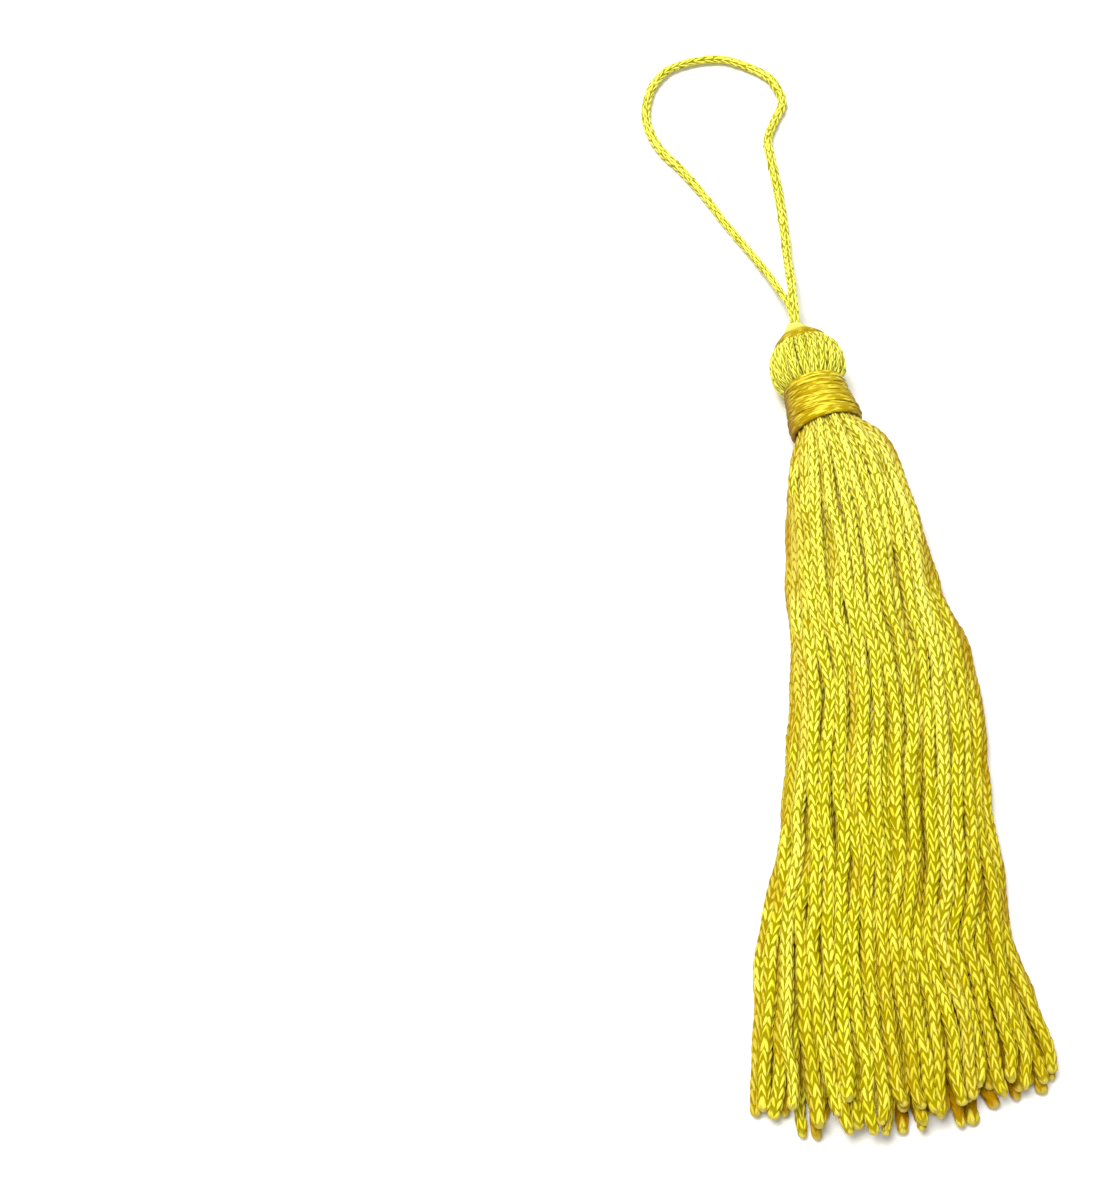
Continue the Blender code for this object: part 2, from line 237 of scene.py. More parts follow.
# %% Growing a piece on its lines
READ_BY_MATERIALS = ("floss_map", "fibre", "lit", "raised", "deep", "pale", "frayed")
PART_OF_MESH = ("position", "sharp_face", "material_index")


def lines_mesh(name, lines, **values):
    """A mesh of these lines, in millimetres. Each value is an attribute of all their points."""
    points = np.concatenate(lines) * MM
    starts = np.cumsum([0] + [len(line) for line in lines[:-1]])
    edges = [(s + k, s + k + 1) for s, line in zip(starts, lines) for k in range(len(line) - 1)]
    mesh = bpy.data.meshes.new(name)
    mesh.from_pydata(points, edges, [])
    for label, value in values.items():
        value = np.asarray(value, np.float32)
        flat = value.ndim == 1
        made = mesh.attributes.new(label, "FLOAT" if flat else "FLOAT_VECTOR", "POINT")
        made.data.foreach_set("value" if flat else "vector", value.ravel())
    return mesh


def grown(name, mesh, tree, **sizes):
    """The mesh that a tree grows on these lines, as an object. sizes are the tree's inputs."""
    source = bpy.data.objects.new(name + "_lines", mesh)
    bpy.context.scene.collection.objects.link(source)
    modifier = source.modifiers.new("grow", "NODES")
    modifier.node_group = tree
    for item in tree.interface.items_tree:
        label = item.name.replace(" ", "_").lower()
        if item.in_out == "INPUT" and label in sizes:
            modifier[item.identifier] = sizes[label]
    bpy.context.view_layer.update()
    graph = bpy.context.evaluated_depsgraph_get()
    made = bpy.data.meshes.new_from_object(source.evaluated_get(graph))
    bpy.data.objects.remove(source, do_unlink=True)
    for label in [a.name for a in made.attributes]:
        if label not in READ_BY_MATERIALS + PART_OF_MESH and not label.startswith("."):
            made.attributes.remove(made.attributes[label])
    obj = bpy.data.objects.new(name, made)
    bpy.context.scene.collection.objects.link(obj)
    made.calc_loop_triangles()
    print(f"{name}: {len(made.loop_triangles)} triangles")
    return obj


# %% [markdown]
# ## Knitted cord
#
# Chainette is a tiny knitted tube. Four columns of stitches, called wales, run round it, and
# each stitch shows as a V of two floss bundles that points to the cut end. You could model one
# stitch and array it along a curve, but stitches touch on every side, and their ends would
# never close up.
#
# Instead, the tree sweeps a ring along the line and moves the ring's points. The trick is to
# shear the grid: each ring is pushed into a zigzag, so that its faces run along the legs of the
# V. Rows then lie across a leg, four to a stitch, and the sine of a row raises the leg between
# two grooves. Where a point is on its leg is stored for the material, which draws the leg's
# edge and filaments from it. How much light reaches that side of the cord is stored as well.

# %% Knitted cord
ROWS_PER_STITCH = 4
LEG_COLUMNS = 3  # steps along one leg, so a ring has twice as many for each wale
LEG_SWING = 0.45  # how far a leg leans to the side for each millimetre along the cord
LEG_TOP = 0.7  # a power: below 1 it makes a leg's top broad and its grooves narrow
POINT_SINKS = 0.8  # how much of its height a leg loses at the point of its V
TIP_LEAST = 0.1  # a cut end closes to the root of this share, so that its faces don't fold
CORD_WIDTH = 1.95  # of the skirt's cords
CORD_HEIGHT = 1.5  # because they are pressed against each other
STITCH = 1.55  # the length of a stitch
STITCH_PRIME, CORD_PRIME = 97.0, 7919.0  # they give each stitch a random number of its own
LEGS = 8.0  # of a cord, two to each wale: the next cord's legs are numbered on from there


def flattening(tree, offset, outward, flatness):
    """How far a point stands out from the line on the way that the flat side faces, and the
    move that presses it back."""
    proud = add(tree, VECTOR_MATH, [offset, outward], operation="DOT_PRODUCT")
    pressed = add(tree, "SUBTRACT", [flatness, 1.0])
    pressed = add(tree, "MULTIPLY", [pressed, proud])
    press = add(tree, VECTOR_MATH, {"Vector": outward, "Scale": pressed}, operation="SCALE")
    return proud, press


def knitted_cord_tree():
    tree, given = new_tree(
        "knitted_cord",
        {
            "Stitch Length": ("Float", STITCH * MM),
            "Wales": ("Int", 4),
            "Cord Width": ("Float", CORD_WIDTH * MM),
            "Flatness": ("Float", CORD_HEIGHT / CORD_WIDTH),
            "Relief": ("Float", 0.3 * MM),  # how far a leg stands out of the cord
            "Slant": ("Float", 1.5 * MM),  # how far apart along the cord a leg's two ends lie
            "Tip": ("Float", 0.8 * MM),  # how long the rounded cut end is
            "Unevenness": ("Float", 0.2),  # how much a leg's height differs by chance
            "Crease": ("Float", 0.5),  # how much light is lost at the sides of a cord
            "Seed": ("Int", 1),
            "Material": ("Material", None),
        },
    )

    # The line, with a point for each row of the grid.
    line = add(tree, "GeometryNodeMeshToCurve", [given["Geometry"]])
    row_length = add(tree, "DIVIDE", [given["Stitch Length"], ROWS_PER_STITCH])
    row_length = add(tree, "MULTIPLY", [row_length, add(tree, READ, ["pull"])])
    line = add(
        tree, "GeometryNodeResampleCurve", {"Curve": line, "Length": row_length}, mode="LENGTH"
    )
    turn = add(tree, READ, ["turn"])
    line = add(tree, "GeometryNodeSetCurveTilt", {"Curve": line, "Tilt": turn})
    spline = add(tree, "GeometryNodeSplineParameter").node.outputs
    whole = add(tree, "GeometryNodeSplineLength")
    to_end = add(tree, "SUBTRACT", [whole, spline["Length"]])
    nearest = add(tree, "MINIMUM", [spline["Length"], to_end])
    here = add(tree, "GeometryNodeInputPosition")
    tangent = add(tree, "GeometryNodeInputTangent")
    line = add(tree, STORE, [line, None, "row", spline["Index"]])
    line = add(tree, STORE, [line, None, "from_end", nearest])

    # A cut end closes in a rounded tip, and is frayed there.
    tip = add(tree, "DIVIDE", [nearest, given["Tip"]])
    open_part = add(tree, "SUBTRACT", [1.0, tip])
    open_part = add(tree, "MAXIMUM", [open_part, 0.0])
    square = add(tree, "POWER", [open_part, 2.0])
    closing = add(tree, "SUBTRACT", [1.0, square])
    closing = add(tree, "MAXIMUM", [closing, TIP_LEAST])
    closing = add(tree, "SQRT", [closing])
    full = add(tree, "MULTIPLY", [closing, add(tree, READ, ["share"])])
    frayed = add(tree, "MULTIPLY", [open_part, add(tree, READ, ["cut"])])
    line = add(tree, STORE, [line, None, "share", full])
    line = add(tree, STORE, [line, None, "frayed", frayed])
    line = add(tree, STORE, [line, None, "middle", here], data_type="FLOAT_VECTOR")
    line = add(tree, STORE, [line, None, "along", tangent], data_type="FLOAT_VECTOR")

    # The ring that is swept along it.
    around = add(tree, "MULTIPLY", [given["Wales"], 2 * LEG_COLUMNS])
    ring = add(tree, "GeometryNodeCurvePrimitiveCircle", {"Resolution": around, "Radius": 1.0})
    index = add(tree, "GeometryNodeInputIndex")
    ring = add(tree, STORE, [ring, None, "column", index])
    half_width = add(tree, "DIVIDE", [given["Cord Width"], 2.0])
    body = add(tree, "SUBTRACT", [half_width, given["Relief"]])
    share = add(tree, READ, ["share"])
    radius = add(tree, "MULTIPLY", [body, share])
    tube = add(tree, "GeometryNodeCurveToMesh", [line, ring, radius, True])

    # Where a point is in its stitch: across a leg from the row, and along it from the column.
    stitch = add(tree, "DIVIDE", [add(tree, READ, ["row"]), ROWS_PER_STITCH])
    half_wale = add(tree, "DIVIDE", [add(tree, READ, ["column"]), LEG_COLUMNS])
    out = add(tree, "PINGPONG", [half_wale, 1.0])

    # A leg rises out of the point of its V, and is highest where it joins the next column.
    across = add(tree, "MULTIPLY", [stitch, math.pi])
    across = add(tree, "ABSOLUTE", [add(tree, "SINE", [across])])
    across = add(tree, "POWER", [across, LEG_TOP])
    rise = add(tree, "SUBTRACT", [1.0, out])
    rise = add(tree, "POWER", [rise, 2.0])
    rise = add(tree, "MULTIPLY_ADD", [rise, -POINT_SINKS, 1.0])
    raised = add(tree, "MULTIPLY", [across, rise])

    # No two stitches are pulled equally tight.
    whole_stitch = add(tree, "FLOOR", [stitch])
    whole_half = add(tree, "FLOOR", [half_wale])
    cord_number = add(tree, READ, ["cord"])
    number = add(tree, "MULTIPLY_ADD", [whole_stitch, STITCH_PRIME, whole_half])
    number = add(tree, "MULTIPLY_ADD", [cord_number, CORD_PRIME, number])
    low = add(tree, "SUBTRACT", [1.0, given["Unevenness"]])
    high = add(tree, "ADD", [1.0, given["Unevenness"]])
    uneven = add(tree, RANDOM, [low, high, number, given["Seed"]], data_type="FLOAT")
    height = add(tree, "MULTIPLY", [raised, given["Relief"]])
    height = add(tree, "MULTIPLY", [height, uneven])
    height = add(tree, "MULTIPLY", [height, share])

    # Lift each point off the line, press the cord flat, and shear the legs, but not a cut end.
    middle, along, outward = (
        add(tree, READ, [name], data_type="FLOAT_VECTOR") for name in ("middle", "along", "outward")
    )
    position = add(tree, "GeometryNodeInputPosition")
    offset = add(tree, VECTOR_MATH, [position, middle], operation="SUBTRACT")
    radial = add(tree, VECTOR_MATH, [offset], operation="NORMALIZE")
    lift = add(tree, VECTOR_MATH, {"Vector": radial, "Scale": height}, operation="SCALE")
    offset = add(tree, VECTOR_MATH, [offset, lift], operation="ADD")
    _, press = flattening(tree, offset, outward, given["Flatness"])
    offset = add(tree, VECTOR_MATH, [offset, press], operation="ADD")
    slope = add(tree, "SUBTRACT", [0.5, out])
    slope = add(tree, "MULTIPLY", [slope, given["Slant"]])
    from_end = add(tree, READ, ["from_end"])
    fade = add(tree, "DIVIDE", [from_end, given["Stitch Length"]])
    fade = add(tree, "MINIMUM", [fade, 1.0])
    slope = add(tree, "MULTIPLY", [slope, fade])
    shear = add(tree, VECTOR_MATH, {"Vector": along, "Scale": slope}, operation="SCALE")
    offset = add(tree, VECTOR_MATH, [offset, shear], operation="ADD")
    place = add(tree, VECTOR_MATH, [middle, offset], operation="ADD")
    cord = add(tree, "GeometryNodeSetPosition", {"Geometry": tube, "Position": place})

    # Which way the floss runs: along the cord, and from side to side with the legs.
    swing = add(tree, "MULTIPLY", [half_wale, math.pi])
    swing = add(tree, "SINE", [swing])
    swing = add(tree, "MULTIPLY", [swing, LEG_SWING])
    fibre = add(tree, VECTOR_MATH, [radial, along], operation="CROSS_PRODUCT")
    fibre = add(tree, VECTOR_MATH, {"Vector": fibre, "Scale": swing}, operation="SCALE")
    fibre = add(tree, VECTOR_MATH, [fibre, along], operation="ADD")
    cord = add(tree, STORE, [cord, None, "fibre", fibre], data_type="FLOAT_VECTOR")

    # Little light reaches the sides of a cord, where its neighbours touch it.
    facing = add(tree, VECTOR_MATH, [radial, outward], operation="DOT_PRODUCT")
    facing = add(tree, "POWER", [facing, 2.0])
    hidden = add(tree, "SUBTRACT", [1.0, facing])
    hidden = add(tree, "POWER", [hidden, 2.0])
    lit = add(tree, "MULTIPLY", [hidden, given["Crease"]])
    lit = add(tree, "SUBTRACT", [1.0, lit])
    cord = add(tree, STORE, [cord, None, "lit", lit])

    # What the material reads: where a point is on its leg.
    leg = add(tree, "MULTIPLY_ADD", [cord_number, LEGS, whole_half])
    where = add(tree, "ShaderNodeCombineXYZ", [stitch, out, leg])
    cord = add(tree, STORE, [cord, None, "floss_map", where], data_type="FLOAT_VECTOR")
    return finish_tree(tree, cord, given["Material"])


knitted_cord = knitted_cord_tree()
print("the knitted cord's tree has", len(knitted_cord.nodes), "nodes")

# %% [markdown]
# ## Wound floss
#
# The bindings are not knitted. They are turns of loose floss, a flat ribbon of parallel
# filaments that shines like satin. The ribbon is a flattened tube along its line. Here too the
# tree stores where a point is across and along the ribbon, for the filaments, and how near it
# is to the ribbon's top.

# %% Wound floss
FLOSS_SIDES = 8  # of the ribbon's section


def wound_floss_tree():
    tree, given = new_tree(
        "wound_floss",
        {
            "Floss Width": ("Float", 0.55 * MM),
            "Flatness": ("Float", 0.5),
            "Step": ("Float", 0.7 * MM),
            "Material": ("Material", None),
        },
    )
    line = add(tree, "GeometryNodeMeshToCurve", [given["Geometry"]])
    line = add(
        tree, "GeometryNodeResampleCurve", {"Curve": line, "Length": given["Step"]}, mode="LENGTH"
    )
    spline = add(tree, "GeometryNodeSplineParameter").node.outputs
    here = add(tree, "GeometryNodeInputPosition")
    tangent = add(tree, "GeometryNodeInputTangent")
    line = add(tree, STORE, [line, None, "run", spline["Length"]])
    line = add(tree, STORE, [line, None, "fibre", tangent], data_type="FLOAT_VECTOR")
    line = add(tree, STORE, [line, None, "middle", here], data_type="FLOAT_VECTOR")
    ring = add(tree, "GeometryNodeCurvePrimitiveCircle", {"Resolution": FLOSS_SIDES, "Radius": 1.0})
    radius = add(tree, "MULTIPLY", [given["Floss Width"], 0.5])
    tube = add(tree, "GeometryNodeCurveToMesh", [line, ring, radius, True])

    middle, outward, fibre = (
        add(tree, READ, [name], data_type="FLOAT_VECTOR") for name in ("middle", "outward", "fibre")
    )
    position = add(tree, "GeometryNodeInputPosition")
    offset = add(tree, VECTOR_MATH, [position, middle], operation="SUBTRACT")
    proud, press = flattening(tree, offset, outward, given["Flatness"])
    place = add(tree, VECTOR_MATH, [position, press], operation="ADD")
    floss = add(tree, "GeometryNodeSetPosition", {"Geometry": tube, "Position": place})

    # Across the ribbon is the way that is square to both the line and the outward way.
    side = add(tree, VECTOR_MATH, [outward, fibre], operation="CROSS_PRODUCT")
    across = add(tree, VECTOR_MATH, [side, offset], operation="DOT_PRODUCT")
    run, winding_number = (add(tree, READ, [name]) for name in ("run", "cord"))
    where = add(tree, "ShaderNodeCombineXYZ", [across, run, winding_number])

    # From 0 at the underside of the ribbon to 1 at its top.
    raised = add(tree, "DIVIDE", [proud, radius])
    raised = add(tree, "MULTIPLY_ADD", [raised, 0.5, 0.5])
    floss = add(tree, STORE, [floss, None, "floss_map", where], data_type="FLOAT_VECTOR")
    floss = add(tree, STORE, [floss, None, "raised", raised])
    return finish_tree(tree, floss, given["Material"])


wound_floss = wound_floss_tree()
print("the wound floss's tree has", len(wound_floss.nodes), "nodes")

# %% [markdown]
# ## Colours
#
# Colours are easiest to choose as the hex values that a screen shows. Those are sRGB, while
# light adds up in linear values, so one function turns each hex value to linear.

# %% Colours
LEMON = "#FBF560"  # the brightest legs of the stitches
DEEP_LEMON = "#DCD812"  # the dullest
PALE_LEMON = "#FAF680"  # paler floss: painted light, and a random tone on a few cords
OLIVE = "#949200"  # painted shade in the grooves between legs
AMBER = "#A27600"  # where cords hide each other from the light
CUT_STRAW = "#C9B754"  # frayed ends
FLOSS_LEMON = "#F2E448"  # painted highlight streaks of wound floss
FLOSS_GOLD = "#B69C04"  # between its streaks
FLOSS_AMBER = "#8E6600"  # painted shade where it sinks between turns or faces away from the light
FLOOR_WHITE = "#F4F3EF"


def linear(hex_colour):
    """A hex colour as linear red, green, blue and alpha."""
    channels = [int(hex_colour[k : k + 2], 16) / 255 for k in (1, 3, 5)]
    return (*[c / 12.92 if c <= 0.04045 else ((c + 0.055) / 1.055) ** 2.4 for c in channels], 1.0)


# %% [markdown]
# ## Viscose chainette
#
# Viscose filaments are smooth and clear, with an IOR near 1.54, so the fibre is brighter than
# cotton and shines along its length. Three things make it read as knitted floss. Each stitch
# shows two petal-shaped legs, a little different every time. The grooves between them are rough
# and painted in shade: darker and greener, like light that has passed through dyed fibre several
# times, and amber on the sides of a cord. And filaments run along each leg.
# A filament is 0.02 mm thick, far too fine to show, so they are drawn five times as coarse.
#
# Parallel filaments also stretch a highlight across them, as brushed metal does. Anisotropy
# does that, if the shader knows which way the floss runs, and the tree has stored it. Light
# that has passed through dyed fibre is tinted, and so is the shine. A little of it passes
# through a thin cord and out again elsewhere, which subsurface scattering stands for.

# %% Viscose chainette
FILAMENT = 0.1  # millimetres
LEG_WIDTH = 0.62
LEG_STREAKS = (1.3, 3.1)  # streaks along a leg, and how unlike those of the next leg they are
SWAY = (0.7, 0.45, 0.0)  # how far a leg is out of place along the cord and across it
PETAL = (2.1, -1.24)  # turn how far along a leg a point is into -1 to 1 over the petal
PETAL_WIDTH = 0.24  # half the width of a petal, as a share of a stitch
PETAL_FATTER = 0.16  # a petal is up to this much wider by chance, and again where it is pale
PETAL_EDGE = 0.06  # how gradually its edge sinks into the groove, as a share of a stitch
PETAL_DOME = 0.26  # and how far from the edge it is fully raised
ROUGH_GROOVE, SMOOTH_LEG = 0.95, 0.4
FLOSS_SHINE = {
    "IOR": 1.54,
    "Specular Tint": (1.0, 0.95, 0.1, 1.0),
    # A quarter turn, because the shader spreads a highlight along its tangent.
    "Anisotropic Rotation": 0.25,
}


def new_material(name):
    """A material, and its empty tree."""
    material = bpy.data.materials.new(name)
    material.use_nodes = True
    material.node_tree.nodes.clear()
    return material, material.node_tree


def viscose_chainette():
    material, tree = new_material("viscose_chainette")
    where, fibre = (
        add(tree, ATTRIBUTE, attribute_name=name).node.outputs["Vector"]
        for name in ("floss_map", "fibre")
    )
    lit, deep, pale, frayed = (
        add(tree, ATTRIBUTE, attribute_name=name).node.outputs["Fac"]
        for name in ("lit", "deep", "pale", "frayed")
    )

    # No leg is pulled into quite the same shape as its neighbours.
    sway = add(tree, NOISE, {"Vector": where, "Scale": 0.9, "Detail": 0.0}).node.outputs["Color"]
    sway = add(tree, VECTOR_MATH, [sway, SWAY, [-0.5 * s for s in SWAY]], operation="MULTIPLY_ADD")
    where = add(tree, VECTOR_MATH, [where, sway], operation="ADD")
    place = add(tree, "ShaderNodeSeparateXYZ", [where]).node.outputs
    leg_number = add(tree, "FLOOR", [place["Z"]])
    stitch_number = add(tree, "FLOOR", [place["X"]])
    on_leg = add(tree, "ShaderNodeCombineXYZ", [place["X"], place["Y"], leg_number])
    stretch = (LEG_WIDTH / FILAMENT, *LEG_STREAKS)
    streaks = add(tree, "ShaderNodeMapping", {"Vector": on_leg, "Scale": stretch})
    filaments = add(tree, NOISE, {"Vector": streaks, "Scale": 1.0, "Detail": 2.0})
    whole_leg = add(tree, "ShaderNodeCombineXYZ", [stitch_number, leg_number, 0.0])
    chance = add(tree, "ShaderNodeTexWhiteNoise", [whole_leg])

    # A leg is shaped like a petal. inside is how far in from its edge a point lies.
    across = add(tree, "FLOORED_MODULO", [place["X"], 1.0])
    across = add(tree, "SUBTRACT", [across, 0.5])
    across = add(tree, "ABSOLUTE", [across])
    from_widest = add(tree, "MULTIPLY_ADD", [place["Y"], *PETAL])
    from_widest = add(tree, "POWER", [from_widest, 2.0])
    inside = add(tree, "SUBTRACT", [1.0, from_widest])
    inside = add(tree, "MAXIMUM", [inside, 0.0])
    inside = add(tree, "SQRT", [inside])
    size = add(tree, "MULTIPLY_ADD", [chance, PETAL_FATTER, PETAL_WIDTH])
    size = add(tree, "MULTIPLY_ADD", [pale, PETAL_FATTER, size])
    inside = add(tree, "MULTIPLY", [inside, size])
    inside = add(tree, "SUBTRACT", [inside, across])
    depth, dome = (
        add(tree, MAP_RANGE, {"Value": inside, "From Min": -PETAL_EDGE, "From Max": top})
        for top in (PETAL_EDGE, PETAL_DOME)
    )
    # A leg gives way to the groove's painted shade where little light reaches the side of its cord.
    shown = add(tree, "MULTIPLY", [depth, lit])

    # Legs differ in tone by chance, and are paler where light is painted on.
    sheen = add(tree, "MULTIPLY_ADD", [chance, 0.8, filaments])
    sheen = add(tree, "SUBTRACT", [sheen, 0.35])
    leg = linear(DEEP_LEMON)
    for share, tone in ((sheen, LEMON), (pale, PALE_LEMON)):
        leg = add(tree, MIX, {"Factor": share, "A": leg, "B": linear(tone)}, data_type="RGBA")
    # The groove's colour is painted shade: olive, and amber where the side of the cord gets little
    # light.
    groove = {"Factor": lit, "A": linear(AMBER), "B": linear(OLIVE)}
    groove = add(tree, MIX, groove, data_type="RGBA")
    colour = add(tree, MIX, {"Factor": shown, "A": groove, "B": leg}, data_type="RGBA")
    # Painted amber shade under other cords, at the hem and on the right flank, and straw on frayed
    # ends.
    for share, tone in ((deep, AMBER), (frayed, CUT_STRAW)):
        colour = add(tree, MIX, {"Factor": share, "A": colour, "B": linear(tone)}, data_type="RGBA")

    smoother = SMOOTH_LEG - ROUGH_GROOVE
    roughness = add(tree, "MULTIPLY_ADD", [shown, smoother, ROUGH_GROOVE])
    height = add(tree, "MULTIPLY_ADD", [filaments, 0.3, dome])
    bump = add(tree, "ShaderNodeBump", {"Strength": 0.3, "Distance": 0.08 * MM, "Height": height})
    shader = add(
        tree,
        "ShaderNodeBsdfPrincipled",
        {
            **FLOSS_SHINE,
            "Base Color": colour,
            "Subsurface Weight": 0.3,
            "Subsurface Radius": (1.0, 0.8, 0.1),
            "Subsurface Scale": 0.6 * MM,
            "Roughness": roughness,
            "Specular IOR Level": 0.25,
            "Anisotropic": 0.6,
            "Tangent": fibre,
            "Normal": bump,
        },
    )
    add(tree, "ShaderNodeOutputMaterial", {"Surface": shader})
    return material


chainette = viscose_chainette()

# %% [markdown]
# ## Satin floss
#
# The same fibre, unknitted. The filaments of a turn are parallel, so its highlight is a streak,
# bright where the turn faces the light and dark at its sides. The thread is also twisted, which
# breaks the streak into short slanted ones, painted in lemon as highlights, with gold between
# them. Floss is rough and painted amber as shade where it sinks between turns or turns down from
# the light, and painted paler in the collar of the crown, as a highlight.

# %% Satin floss
TWIST = 0.22  # radians, of the streaks against the thread
# How many to a metre across the ribbon and along it, and how unlike the next winding's they are.
FILAMENTS = (1 / (FILAMENT * MM), 0.35 / MM, 3.1)
STREAKS = (2.6 / MM, 0.55 / MM, 3.1)
STREAK_EDGES = (0.45, 0.58)  # of the noise, between no streak and a full one
SUNK, ON_TOP = 0.45, 0.95  # how raised floss is where it is darkest and where it is brightest
ROUGH_FLOSS, SMOOTH_FLOSS = 0.7, 0.3


def satin_floss_finish():
    material, tree = new_material("satin_floss")
    where, fibre = (
        add(tree, ATTRIBUTE, attribute_name=name).node.outputs["Vector"]
        for name in ("floss_map", "fibre")
    )
    raised, deep, pale = (
        add(tree, ATTRIBUTE, attribute_name=name).node.outputs["Fac"]
        for name in ("raised", "deep", "pale")
    )
    fine = add(tree, "ShaderNodeMapping", {"Vector": where, "Scale": FILAMENTS})
    filaments = add(tree, NOISE, {"Vector": fine, "Scale": 1.0, "Detail": 2.0})
    # Short slanted streaks: a painted highlight in the colour, and raised and smoother in the bump
    # and roughness.
    twist = {"Vector": where, "Rotation": (0, 0, TWIST), "Scale": STREAKS}
    twist = add(tree, "ShaderNodeMapping", twist)
    streaks = add(tree, NOISE, {"Vector": twist, "Scale": 1.0, "Detail": 1.0})
    low, high = STREAK_EDGES
    streaks = add(tree, MAP_RANGE, {"Value": streaks, "From Min": low, "From Max": high})
    # Painted shade: amber where the floss sinks between turns or faces away from the light.
    depth = add(tree, MAP_RANGE, {"Value": raised, "From Min": SUNK, "From Max": ON_TOP})
    open_part = add(tree, "SUBTRACT", [1.0, deep])
    depth = add(tree, "MULTIPLY", [depth, open_part])
    lit = add(tree, "MULTIPLY", [streaks, depth])
    colour = linear(FLOSS_AMBER)
    for share, tone in ((depth, FLOSS_GOLD), (lit, FLOSS_LEMON), (pale, PALE_LEMON)):
        colour = add(tree, MIX, {"Factor": share, "A": colour, "B": linear(tone)}, data_type="RGBA")
    smoother = SMOOTH_FLOSS - ROUGH_FLOSS
    roughness = add(tree, "MULTIPLY_ADD", [lit, smoother, ROUGH_FLOSS])
    height = add(tree, "MULTIPLY_ADD", [filaments, 0.4, streaks])
    bump = add(tree, "ShaderNodeBump", {"Strength": 0.6, "Distance": 0.12 * MM, "Height": height})
    shader = add(
        tree,
        "ShaderNodeBsdfPrincipled",
        {
            **FLOSS_SHINE,
            "Base Color": colour,
            "Roughness": roughness,
            "Specular IOR Level": 0.4,
            "Anisotropic": 0.75,
            "Tangent": fibre,
            "Normal": bump,
        },
    )
    add(tree, "ShaderNodeOutputMaterial", {"Surface": shader})
    return material


satin = satin_floss_finish()

# %% [markdown]
# ## The hanging loop
#
# The loop is a cord on its route. Its flat side lies on the table, so it faces up.

# %% The hanging loop
PULL = (0.9, 1.1)  # cords are knitted tighter or looser, which changes their stitches' length
LOOP_TWIST = 0.012  # radians for each millimetre
LOOP_PALE = 0.5  # painted light: the thin loop is paler all along


def cord_attributes(lines, shares, outwards, turns, pales, deeps=None, first=0, cut=0):
    """The attributes of knitted cords, from a list of each for their lines. cut is 1 where
    their ends show."""
    draw = np.random.default_rng(first)
    return {
        "pull": np.concatenate([np.full(len(line), draw.uniform(*PULL)) for line in lines]),
        "deep": np.concatenate(deeps or [np.zeros(len(line)) for line in lines]),
        "pale": np.concatenate([np.zeros(len(line)) + pale for line, pale in zip(lines, pales)]),
        "cut": np.full(sum(map(len, lines)), cut),
        "share": np.concatenate(shares),
        "outward": np.concatenate(outwards),
        "turn": np.concatenate(turns),
        "cord": np.concatenate([np.full(len(line), first + k) for k, line in enumerate(lines)]),
    }


def upward(line):
    """The way that is square to the line and as near to straight up as it can be."""
    ahead = np.gradient(line, axis=0)
    ahead /= np.linalg.norm(ahead, axis=1)[:, None]
    up = np.array([0, 0, 1.0]) - ahead * ahead[:, 2:]
    return up / np.linalg.norm(up, axis=1)[:, None]


def make_loop():
    run = run_of(loop_line)
    to_end = run[-1] - run
    held = np.clip(1 - np.minimum(run, to_end) / LOOP_TAPER, 0, 1)
    drawn = np.clip((LOOP_DRAWN_LEG - to_end) / LOOP_EASES, 0, 1)
    share = (1 - (1 - LOOP_THIN) * held) * (1 - (1 - LOOP_DRAWN) * drawn)
    lines = [loop_line]
    turns = [LOOP_TWIST * run]
    values = cord_attributes(lines, [share], [upward(loop_line)], turns, [LOOP_PALE], first=500)
    return grown(
        "loop_cord",
        lines_mesh("loop_cord", lines, **values),
        knitted_cord,
        cord_width=LOOP_CORD * MM,
        flatness=0.85,
        crease=0.25,
        material=chainette,
    )


loop = make_loop()

# %% [markdown]
# ## Laying the skirt
#
# Sixty-four cords leave the mouth of the neck binding, packed like a bundle of straws, and
# spread into a fan that sags to the table. Placing them by hand would take days, and a physics
# simulation would drift from the shape in the photograph. A cheaper idea works well: walk down
# the skirt in half-millimetre steps, and at each step push the cords apart until they only
# touch, inside an outline that we know. The outline's rows say how wide the skirt is and how
# high its widest place lies.

# %% Laying the skirt
STRANDS = 64
HEAD_LEAN = 12.5  # degrees, of the head to the side, and of the cords that leave it
STRAYS = ((0.05, 5, 9), (0.10, 10, 18), (0.20, 24, 45))  # how far a cord strays, on what waves
EASES_IN = 12.0  # the cords are held straight for this far from the mouth
CUT_LENGTH = 104.0  # of a cord, from the mouth to its cut end
UNEVEN = 1.7  # how unevenly the cords are cut
LOOSE = 26.0  # over this length above its cut end a cord lies loose
ASTRAY = 0.55  # and strays this far to the side
BENT = 5.0  # its very end is bent over this length
BENT_BY = 0.5  # and this far
FILL = 0.82  # how much of a section the cords fill, because round things leave gaps
HIGHEST = 10.8  # no cord lies higher than this
STEP = 0.5  # between the sections where the cords are laid
ROUNDS = 40  # of pushing them apart at each section
FIRST_ROUNDS = 300  # and at the first
FIRST_FILL = 0.85  # they start in this much of the mouth's radius
PUSH = 0.35  # how much of an overlap a push takes away
EASE = 2.0  # a cord's path is smoothed over this distance each way
SHIFT = 0.15  # the most that a cord is pushed at each step, so that it bends gently
SINK = 0.06  # how far a cord falls at each step, if nothing is under it
WANDER = 0.035  # how far it drifts to the side at each step, this way and that
WAVES = (25, 60)  # on waves of these lengths
MOUTH_REACH = 9.0  # the cords press against each other and the binding this far down
MOUTH_SPREAD = 0.13  # how much further out they stand at the mouth
MOUTH_SWELL = 0.3  # and how much fatter they are, because they are squeezed into each other
UNDER = 1.2  # cords this near to the side hide a cord from the light
DEEPEST = 3.0  # this far under them it gets almost none
SEED = 17

